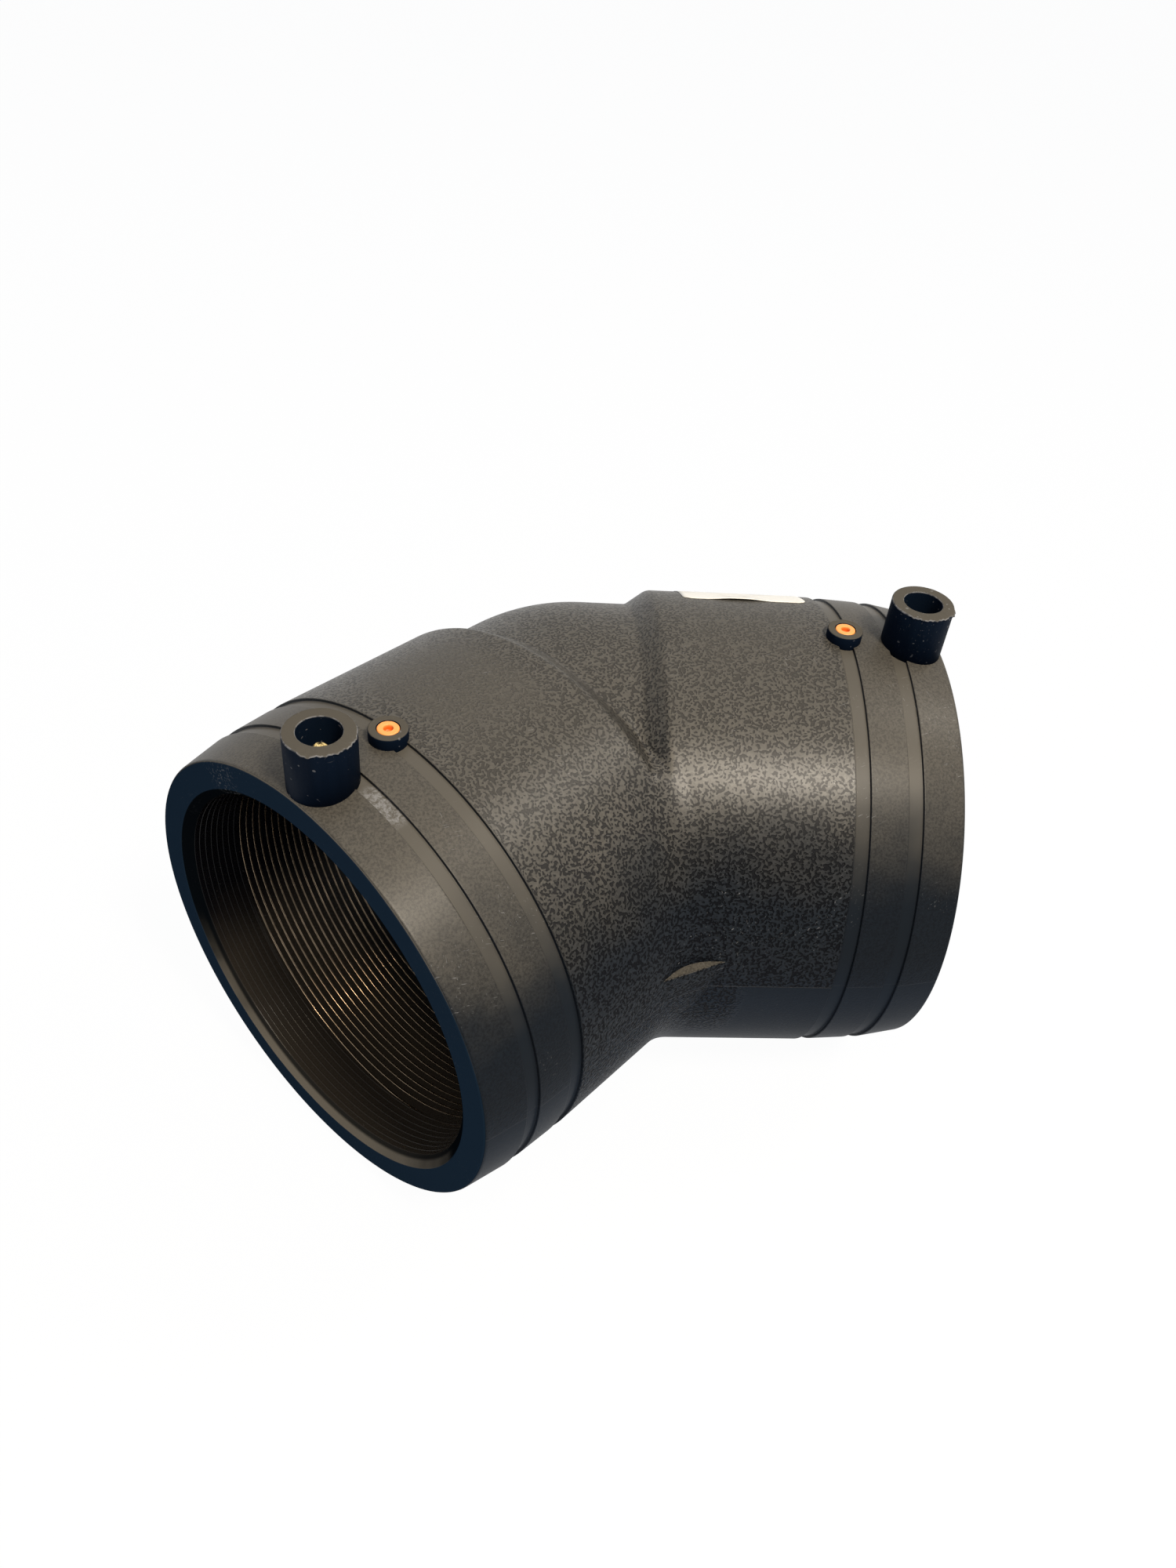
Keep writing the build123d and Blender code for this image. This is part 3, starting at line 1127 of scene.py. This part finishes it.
    def shell(self) -> tuple[Array, Faces, list[int]]:
        """The main shell of both sockets, closed over the rims and through the passage.

        Returns:
            Its points about the axes' crossing, its faces, and the zone of each face.
        """
        angle = np.arange(self.around) * FULL_TURN / self.around
        along, radii = self.near_bend(angle)
        outside = self.outside_profile()
        inside = self.inside_profile()
        first_rim_strip = len(along) + len(outside) - 5
        first_bore_strip = len(along) + len(outside) + 11
        for position, radius in outside + inside:
            along = np.vstack([along, np.full(self.around, position)])
            radii = np.vstack([radii, np.full(self.around, radius)])
        mitre = -self.sizes.passage * np.cos(angle) * self.sizes.slope
        start = inside[-1][0]
        for step in range(1, self.passage_rows + 1):
            along = np.vstack([along, start + (mitre - start) * step / self.passage_rows])
            radii = np.vstack([radii, np.full(self.around, self.sizes.passage)])
        cosine = math.cos(self.sizes.half_bend)
        sine = math.sin(self.sizes.half_bend)
        outward = radii * np.cos(angle)
        half_b = np.stack(
            [along * cosine + outward * sine, -along * sine + outward * cosine, radii * np.sin(angle)], axis=2
        )
        half_b[0, :, 0] = 0.0
        half_b[-1, :, 0] = 0.0
        half_a = half_b[-2:0:-1].copy()
        half_a[:, :, 0] *= -1
        rows = np.concatenate([half_b, half_a])
        faces = grid_faces(len(rows), self.around, close_rows=True)
        zones = []
        for index in range(len(faces)):
            strip = index // self.around
            strip = min(strip, len(rows) - 1 - strip)
            if strip >= first_bore_strip:
                zone = Zone.BORE
            elif strip >= first_rim_strip:
                zone = Zone.RIM
            else:
                zone = Zone.OUTSIDE
            zones.append(zone.number)
        return rows.reshape(-1, 3), faces, zones

    def web(self) -> tuple[Array, Faces]:
        """The small web in the throat, with a level ledge on top and a face that curves back."""
        fade_depth = math.sqrt(self.sizes.outside**2 - self.web_fade**2) / math.cos(self.sizes.half_bend)
        drop = self.web_top + self.web_fade
        retreat = self.web_face - fade_depth
        bow = (drop**2 + retreat**2) / (2 * retreat)
        section = [(-66.0, self.web_top), (-70.0, self.web_top)]
        section += [(-self.web_face + 0.35, self.web_top), (-self.web_face + 0.1, self.web_top - 0.08)]
        for step in range(self.web_rows + 1):
            height = self.web_top - 0.35 - (drop - 0.35) * step / self.web_rows
            section.append((bow - self.web_face - math.sqrt(bow**2 - (self.web_top - height) ** 2), height))
        section.append((-60.0, -self.web_fade))
        across = np.linspace(-15, 15, self.web_columns)
        points = [(position, forward, height) for position in across for forward, height in section]
        count = len(section)
        faces = grid_faces(self.web_columns, count)
        faces.append(tuple(range(count)))
        faces.append(tuple(range((self.web_columns - 1) * count, self.web_columns * count)))
        return np.array(points), faces

    def cup_profile(self) -> Profile:
        """The section of the cup round a terminal, as (radius, height)."""
        corners = [
            (0.0, self.sizes.wall_middle),
            (self.cup_radius, self.sizes.wall_middle),
            (self.cup_radius, self.cup_top - 1.3),
            (self.cup_radius, self.cup_top),
            (self.cup_hole, self.cup_top),
            (self.cup_hole, self.cup_floor),
            (0.0, self.cup_floor),
        ]
        return rounded_outline(corners, [0.0, 0.0, 0.45, 0.3, 0.3])

    def boss_profile(self) -> Profile:
        """The section of the boss round a melt indicator, as (radius, height)."""
        corners = [
            (0.0, self.sizes.wall_middle),
            (self.boss_radius, self.sizes.wall_middle),
            (self.boss_radius, self.boss_top),
            (self.boss_hole, self.boss_top),
            (self.boss_hole, self.sizes.wall_middle + 1),
            (0.0, self.sizes.wall_middle + 1),
        ]
        return rounded_outline(corners, [0.0, 0.4, 0.12, 0.2])

    def burr(self, angle: Array, radius: Array, height: Array) -> tuple[Array, Array]:
        """Roughens the outer edge of a cup's rim on the side that faces the mouth and the throat.

        Args:
            angle: Each point's angle.
            radius: Its radius.
            height: Its height.

        Returns:
            The new radius and height.
        """
        at_edge = ease(height, self.cup_top - 0.9, self.cup_top - 0.3) * ease(radius, 7.6, 8.2)
        sector = ease(np.cos(angle + 1.3), 0.45, 0.75)
        tab = ease(np.cos(angle + 0.52), 0.975, 0.995)
        ragged = 0.5 + 0.25 * np.sin(angle * 17) + 0.25 * np.sin(angle * 41 + 1.3)
        amount = at_edge * (sector * ragged + 0.9 * tab)
        return radius + 0.42 * amount, height - 0.30 * amount

    def build(self, finishes: Finishes) -> Piece:
        """Makes the moulding.

        Args:
            finishes: The elbow's materials.

        Returns:
            The piece.
        """
        shells = ShellSet()
        centre = Matrix.Translation(self.sizes.crossing()) @ Matrix.Scale(MM, 4)
        shells.add(*self.shell(), centre)
        shells.add(*self.web(), [Zone.OUTSIDE.number], centre)
        for side in Side:
            place = self.sizes.place(side)
            cup = lathed(self.cup_profile(), self.sizes.terminal, 128, self.burr)
            shells.add(*cup, [Zone.CUP.number], place)
            boss = lathed(self.boss_profile(), self.sizes.indicator)
            shells.add(*boss, [Zone.CUP.number], place)
        piece = shells.to_object("elbow_moulding", [finishes.moulding[zone] for zone in Zone])
        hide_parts("elbow_body")
        return piece


# What is wound and ringed in the bores


def evaluated_copy(name: str, tree: Tree, values: dict[str, object], place: Matrix) -> Piece:
    """Runs a geometry tree and keeps its result as a plain mesh.

    Args:
        name: The new piece's name.
        tree: The tree.
        values: Its inputs by name.
        place: The matrix from the tree's millimetres to the frame.

    Returns:
        The piece, linked to the scene.
    """
    carrier = bpy.data.objects.new(name + "_maker", bpy.data.meshes.new(name + "_maker"))
    bpy.context.scene.collection.objects.link(carrier)
    modifier = carrier.modifiers.new("maker", "NODES")
    modifier.node_group = tree
    for item in tree.interface.items_tree:
        if item.item_type == "SOCKET" and item.in_out == "INPUT" and item.name in values:
            modifier[item.identifier] = values[item.name]
    carrier.update_tag()
    bpy.context.view_layer.update()
    depsgraph = bpy.context.evaluated_depsgraph_get()
    mesh = bpy.data.meshes.new_from_object(carrier.evaluated_get(depsgraph))
    bpy.data.objects.remove(carrier)
    mesh.name = name
    mesh.transform(place)
    return linked_piece(name, mesh)


def end_tree(wiring: Wiring, geometry: Socket, start: dict, end: dict) -> Tree:
    """Ends a geometry tree: makes copies real and gives them the material.

    Args:
        wiring: The tree's wiring.
        geometry: What it made.
        start: Its input sockets by name.
        end: The sockets that its outputs come from.

    Returns:
        The tree.
    """
    real = wiring.node("GeometryNodeRealizeInstances", {"Geometry": geometry}).outputs[0]
    dressed = wiring.node("GeometryNodeSetMaterial", {"Geometry": real, "Material": start["Material"]})
    wiring.tree.links.new(dressed.outputs[0], end["Geometry"])
    return wiring.tree


def bore_place(sizes: ElbowSizes, side: Side) -> Matrix:
    """The matrix that lays a thing made round Z into a socket, with X to the bend's outer side and Y up.

    Args:
        sizes: The elbow's sizes.
        side: Which socket.

    Returns:
        A matrix from millimetres to the frame.
    """
    turn = Matrix(((0, 0, 1, 0), (1, 0, 0, 0), (0, 1, 0, 0), (0, 0, 0, 1)))
    return sizes.place(side) @ turn


@dataclass
class HeatingCoil:
    """The turns of bare wire in a socket, and the lead that slants from them to the terminal."""

    sizes: ElbowSizes
    start_from_mouth: float = 17.3
    start_angle: float = math.radians(-65)
    pitch: float = 2.22
    turns: float = 17.18
    wire_radius: float = 0.5
    coil_radius: float = 55.9
    lead_turns: float = 0.57
    lead_rise: float = 7.04
    lead_sink: float = 0.15
    points_per_turn: float = 144.0
    wire_sides: int = 16

    def values(self) -> dict[str, float]:
        """The tree's inputs by name, apart from the material."""
        return {
            "Turns": self.turns,
            "Lead Turns": self.lead_turns,
            "Pitch": self.pitch,
            "Coil Radius": self.coil_radius,
            "Wire Radius": self.wire_radius,
            "Start Angle": self.start_angle,
            "Start Along": self.sizes.mouth - self.start_from_mouth,
            "Lead Rise": self.lead_rise,
            "Lead Sink": self.lead_sink,
            "Points Per Turn": self.points_per_turn,
        }

    def tree(self) -> Tree:
        """Builds the tree that winds the wire."""
        inputs = dict.fromkeys(self.values(), FLOAT) | {"Material": MATERIAL}
        wiring, start, end = new_group("wound_wire", "GeometryNodeTree", inputs, {"Geometry": GEOMETRY})
        count = wiring.product(wiring.total(start["Turns"], start["Lead Turns"]), start["Points Per Turn"])
        line = wiring.node("GeometryNodeMeshLine", {"Count": count}).outputs[0]
        index = wiring.node("GeometryNodeInputIndex").outputs[0]
        turn = wiring.math("DIVIDE", index, start["Points Per Turn"])
        turn = wiring.math("SUBTRACT", turn, start["Lead Turns"])
        angle = wiring.math("MULTIPLY_ADD", turn, FULL_TURN, start["Start Angle"])
        back = wiring.math("DIVIDE", wiring.product(turn, -1.0), start["Lead Turns"])
        share = wiring.rise(back, (0.0, 1.0))
        sunk = wiring.product(start["Lead Sink"], -1.0)
        radius = wiring.math("MULTIPLY_ADD", share, sunk, start["Coil Radius"])
        inward = wiring.product(start["Pitch"], -1.0)
        along = wiring.math("MULTIPLY_ADD", turn, inward, start["Start Along"])
        along = wiring.math("MULTIPLY_ADD", share, start["Lead Rise"], along)
        right = wiring.product(radius, wiring.math("COSINE", angle))
        up = wiring.product(radius, wiring.math("SINE", angle))
        position = wiring.node("ShaderNodeCombineXYZ", {0: right, 1: up, 2: along}).outputs[0]
        wound = wiring.node("GeometryNodeSetPosition", {"Geometry": line, "Position": position}).outputs[0]
        path = wiring.node("GeometryNodeMeshToCurve", {"Mesh": wound}).outputs[0]
        circle = {"Resolution": self.wire_sides, "Radius": start["Wire Radius"]}
        section = wiring.node("GeometryNodeCurvePrimitiveCircle", circle).outputs[0]
        swept = {"Curve": path, "Profile Curve": section, "Fill Caps": True}
        tube = wiring.node("GeometryNodeCurveToMesh", swept).outputs[0]
        return end_tree(wiring, tube, start, end)

    def build(self, finishes: Finishes) -> list[Piece]:
        """Makes the wire of both sockets.

        Args:
            finishes: The elbow's materials.

        Returns:
            The pieces.
        """
        tree = self.tree()
        values = self.values() | {"Material": finishes.wire}
        pieces = []
        for side in Side:
            piece = evaluated_copy("coil_" + side.letter, tree, values, bore_place(self.sizes, side))
            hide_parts("heating_wire")
            pieces.append(piece)
        return pieces


@dataclass
class BoreRings:
    """The fine moulded rings on the bore between the mouth and the coil."""

    sizes: ElbowSizes
    first_from_mouth: float = 4.3
    spacing: float = 1.89
    count: int = 7
    bead_radius: float = 0.40
    proud: float = 0.10
    around: int = 240
    bead_sides: int = 12

    def tree(self) -> Tree:
        """Builds the tree that repeats one ring."""
        sizes = dict.fromkeys(("Spacing", "Ring Radius", "Bead Radius"), FLOAT)
        inputs = {"Count": "NodeSocketInt", **sizes, "Material": MATERIAL}
        wiring, start, end = new_group("bore_rings", "GeometryNodeTree", inputs, {"Geometry": GEOMETRY})
        step = wiring.node("ShaderNodeCombineXYZ", {2: start["Spacing"]}).outputs[0]
        line = wiring.node("GeometryNodeMeshLine", {"Count": start["Count"], "Offset": step}).outputs[0]
        circles = []
        for sides, radius in ((self.around, "Ring Radius"), (self.bead_sides, "Bead Radius")):
            circle = {"Resolution": sides, "Radius": start[radius]}
            circles.append(wiring.node("GeometryNodeCurvePrimitiveCircle", circle).outputs[0])
        ring, bead = circles
        body = wiring.node("GeometryNodeCurveToMesh", {"Curve": ring, "Profile Curve": bead}).outputs[0]
        spread = wiring.node("GeometryNodeInstanceOnPoints", {"Points": line, "Instance": body}).outputs[0]
        return end_tree(wiring, spread, start, end)

    def build(self, finishes: Finishes) -> list[Piece]:
        """Makes the rings of both sockets.

        Args:
            finishes: The elbow's materials.

        Returns:
            The pieces.
        """
        tree = self.tree()
        values = {
            "Count": self.count,
            "Spacing": -self.spacing,
            "Ring Radius": self.sizes.bore + self.bead_radius - self.proud,
            "Bead Radius": self.bead_radius,
            "Material": finishes.moulding[Zone.BORE],
        }
        first = Matrix.Translation((0, 0, self.sizes.mouth - self.first_from_mouth))
        pieces = []
        for side in Side:
            place = bore_place(self.sizes, side) @ first
            piece = evaluated_copy("bore_rings_" + side.letter, tree, values, place)
            pieces.append(piece)
        return pieces


# Pins, plugs and label


@dataclass
class TerminalPin:
    """A brass contact pin with a dented tip."""

    sizes: ElbowSizes
    side: Side
    radius: float = 2.35
    top: float = 77.3
    tip_radius: float = 1.7
    foot: float = 64.0

    def dented(self, angle: Array, radius: Array, height: Array) -> tuple[Array, Array]:
        """Dents the top.

        Args:
            angle: Each point's angle.
            radius: Its radius.
            height: Its height.

        Returns:
            The same radius and the new height.
        """
        at_top = ease(height, self.top - 0.6, self.top - 0.1)
        waves = 0.5 + 0.3 * np.sin(2 * angle + radius) + 0.2 * np.sin(5 * angle - 2 * radius)
        return radius, height - 0.22 * at_top * waves

    def build(self, finishes: Finishes) -> Piece:
        """Makes the pin.

        Args:
            finishes: The elbow's materials.

        Returns:
            The piece.
        """
        corners = [
            (0.0, self.foot),
            (self.radius, self.foot),
            (self.radius, self.top - 1.1),
            (self.tip_radius, self.top),
            (0.7, self.top - 0.05),
            (0.0, self.top - 0.1),
        ]
        profile = rounded_outline(corners, [0.0, 0.9, 0.5, 0.0])
        pin = lathed(profile, self.sizes.terminal, 64, self.dented)
        piece = one_shell("pin_" + self.side.letter, pin, self.sizes.place(self.side), finishes.brass)
        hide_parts("terminal_pin_" + self.side.letter)
        return piece


@dataclass
class IndicatorPlug:
    """An orange melt indicator with a rounded edge and a dimple."""

    sizes: ElbowSizes
    side: Side
    radius: float = 2.79
    top: float = 72.0
    length: float = 9.0
    dimple_radius: float = 1.25
    dimple_depth: float = 1.5

    def build(self, finishes: Finishes) -> Piece:
        """Makes the plug.

        Args:
            finishes: The elbow's materials.

        Returns:
            The piece.
        """
        corners = [
            (0.0, self.top - self.length),
            (self.radius, self.top - self.length),
            (self.radius, self.top),
            (self.dimple_radius, self.top),
            (self.dimple_radius * 0.8, self.top - self.dimple_depth),
            (0.0, self.top - self.dimple_depth - 0.2),
        ]
        profile = rounded_outline(corners, [0.2, 0.4, 0.3, 0.5], 5)
        plug = lathed(profile, self.sizes.indicator, 72)
        piece = one_shell("plug_" + self.side.letter, plug, self.sizes.place(self.side), finishes.orange)
        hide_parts("melt_indicator_" + self.side.letter)
        return piece


@dataclass
class Label:
    """The blank sticker on socket B, with rounded corners and one slightly lifted edge."""

    sizes: ElbowSizes
    from_mouth: float = 34.5
    length: float = 37.0
    start_angle: float = math.radians(19)
    end_angle: float = math.radians(71)
    thickness: float = 0.16
    corner: float = 2.5
    lift: float = 0.5
    rows: int = 72
    columns: int = 28

    def build(self, finishes: Finishes) -> Piece:
        """Makes the sheet.

        Args:
            finishes: The elbow's materials.

        Returns:
            The piece.
        """
        arc = (self.end_angle - self.start_angle) * self.sizes.outside
        middle = self.sizes.mouth - self.from_mouth - self.length / 2
        layers = []
        for top in (False, True):
            for row in range(self.rows + 1):
                share = row / self.rows
                from_end = min(share, 1 - share) * arc
                short = max(self.corner - from_end, 0)
                inset = self.corner - math.sqrt(self.corner**2 - short**2)
                half = self.length / 2 - inset
                angle = self.start_angle + share * (self.end_angle - self.start_angle)
                for column in range(self.columns + 1):
                    across = -1 + 2 * column / self.columns
                    lifted = self.lift * ease(share, 0.93, 1.0) * ease(1 - abs(across + 0.1), 0.35, 0.9)
                    radius = self.sizes.outside + 0.01 + lifted + (self.thickness if top else 0.0)
                    point = (middle + half * across, radius * math.cos(angle), radius * math.sin(angle))
                    layers.append(point)
        sheet = (np.array(layers), self.sheet_faces())
        piece = one_shell("label_sheet", sheet, self.sizes.place(Side.B), finishes.paper)
        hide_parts("label")
        return piece

    def sheet_faces(self) -> Faces:
        """The faces of the under and upper layers and of the edges between them."""
        wide = self.columns + 1
        layer = (self.rows + 1) * wide
        faces = []
        for row in range(self.rows):
            for column in range(self.columns):
                corner = row * wide + column
                square = (corner, corner + 1, corner + wide + 1, corner + wide)
                faces.append(square)
                faces.append(tuple(layer + point for point in reversed(square)))
        border = list(range(wide))
        border += [row * wide + self.columns for row in range(1, self.rows + 1)]
        border += [self.rows * wide + column for column in range(self.columns - 1, -1, -1)]
        border += [row * wide for row in range(self.rows - 1, 0, -1)]
        for here, there in zip(border, border[1:] + border[:1]):
            faces.append((here, there, layer + there, layer + here))
        return faces


# Floor, light and camera


@dataclass(frozen=True)
class Lamp:
    """A soft square lamp: where it hangs and its side in metres, its watts and its colour."""

    name: str
    place: tuple[float, float, float]
    size: float
    power: float
    colour: tuple[float, float, float]


@dataclass
class Studio:
    """The pale floor, the soft lights and the camera."""

    camera_place: tuple[float, float, float] = (-132.7, -229.6, 326.1)
    camera_target: tuple[float, float, float] = (10.4, 26.89, 69.2)
    camera_roll: float = -0.1079
    focal_pixels: float = 1546.0
    floor_reach: float = 6.0
    floor_seen_share: float = 0.97
    lamps: tuple[Lamp, ...] = (
        Lamp("key_lamp", (0.11, -0.65, 1.09), 0.22, 13.5, (1.0, 0.90, 0.76)),
        Lamp("side_lamp", (0.73, -0.14, 1.07), 0.26, 4.0, (1.0, 0.93, 0.82)),
        Lamp("mouth_lamp", (-0.34, -0.50, 1.16), 0.18, 4.6, (1.0, 0.82, 0.58)),
        Lamp("top_lamp", (0.10, 0.50, 1.20), 0.90, 2.0, (1.0, 0.97, 0.93)),
    )

    def camera(self) -> None:
        """Sets the camera at the photograph's viewing angle."""
        place = Vector(self.camera_place)
        ahead = (Vector(self.camera_target) - place).normalized()
        right = ahead.cross(Vector((0, 0, 1))).normalized()
        down = ahead.cross(right).normalized()
        cosine = math.cos(self.camera_roll)
        sine = math.sin(self.camera_roll)
        rolled_right = right * cosine + down * sine
        rolled_down = down * cosine - right * sine
        turn = Matrix((rolled_right, -rolled_down, -ahead)).transposed().to_4x4()
        data = bpy.data.cameras.new("camera")
        data.sensor_width = 36.0
        data.lens = self.focal_pixels / max(PHOTO_WIDTH, PHOTO_HEIGHT) * data.sensor_width
        data.clip_start = 0.01
        data.dof.use_dof = False
        camera = bpy.data.objects.new("camera", data)
        camera.matrix_world = Matrix.Translation(place * MM) @ turn
        bpy.context.scene.collection.objects.link(camera)
        bpy.context.scene.camera = camera

    def light(self, lamp: Lamp) -> None:
        """Adds a lamp that faces the elbow.

        Args:
            lamp: The lamp.
        """
        data = bpy.data.lights.new(lamp.name, "AREA")
        data.size = lamp.size
        data.energy = lamp.power
        data.color = lamp.colour
        made = bpy.data.objects.new(lamp.name, data)
        place = Vector(lamp.place)
        towards = Vector((0, 0, 0.07)) - place
        made.matrix_world = Matrix.Translation(place) @ towards.to_track_quat("-Z", "Y").to_matrix().to_4x4()
        bpy.context.scene.collection.objects.link(made)

    def world(self) -> None:
        """Makes an even pale surrounding, white where the camera and reflections see it."""
        world = bpy.data.worlds.new("surrounding")
        world.use_nodes = True
        bpy.context.scene.world = world
        wiring = Wiring(world.node_tree)
        background = world.node_tree.nodes["Background"]
        wiring.fill(background, {"Color": (0.42, 0.62, 1.0, 1.0), "Strength": 0.30})
        white = wiring.node("ShaderNodeBackground", {"Color": (1, 1, 1, 1), "Strength": 1.0})
        seen = self.seen_ray(wiring)
        mixed = wiring.node("ShaderNodeMixShader", {0: seen, 1: background.outputs[0], 2: white.outputs[0]})
        wiring.tree.links.new(mixed.outputs[0], world.node_tree.nodes["World Output"].inputs[0])

    def seen_ray(self, wiring: Wiring) -> Socket:
        """1 for rays of the camera and of reflections and glass."""
        rays = wiring.node("ShaderNodeLightPath").outputs
        return wiring.largest(rays["Is Camera Ray"], rays["Is Glossy Ray"], rays["Is Transmission Ray"])

    def floor(self) -> None:
        """Lays the pale floor, which keeps the elbow's shadow."""
        mesh = bpy.data.meshes.new("floor")
        reach = self.floor_reach
        corners = [(-reach, -reach, 0.0), (reach, -reach, 0.0), (reach, reach, 0.0), (-reach, reach, 0.0)]
        mesh.from_pydata(corners, [], [(0, 1, 2, 3)])
        material, wiring, shader = new_material("pale_floor")
        pale = {"Base Color": (0.84, 0.85, 0.87, 1.0), "Roughness": 0.9, "Specular IOR Level": 0.0}
        wiring.fill(shader, pale)
        white = wiring.node("ShaderNodeEmission", {"Color": (1, 1, 1, 1), "Strength": 1.0})
        share = wiring.product(self.seen_ray(wiring), self.floor_seen_share)
        mixed = wiring.node("ShaderNodeMixShader", {0: share, 1: shader.outputs[0], 2: white.outputs[0]})
        wiring.tree.links.new(mixed.outputs[0], material.node_tree.nodes["Material Output"].inputs[0])
        mesh.materials.append(material)
        floor = bpy.data.objects.new("floor", mesh)
        bpy.context.scene.collection.objects.link(floor)

    def build(self) -> None:
        """Sets up everything round the elbow."""
        scene = bpy.context.scene
        scene.view_settings.view_transform = "Standard"
        self.camera()
        self.world()
        self.floor()
        for lamp in self.lamps:
            self.light(lamp)


def main() -> None:
    """Builds every piece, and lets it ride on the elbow."""
    logging.basicConfig(level=logging.INFO, format="%(name)s: %(message)s")
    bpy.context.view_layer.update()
    Studio().build()
    finishes = Finishes.build(SharedEffects.build(SIZES))
    pieces = [Moulding(SIZES).build(finishes)]
    pieces += HeatingCoil(SIZES).build(finishes)
    pieces += BoreRings(SIZES).build(finishes)
    for side in Side:
        pieces.append(TerminalPin(SIZES, side).build(finishes))
        pieces.append(IndicatorPlug(SIZES, side).build(finishes))
    pieces.append(Label(SIZES).build(finishes))
    for piece in pieces:
        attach(piece, "root")
        LOG.info("%s: %d faces", piece.name, len(piece.data.polygons))


if __name__ == "__main__":
    main()
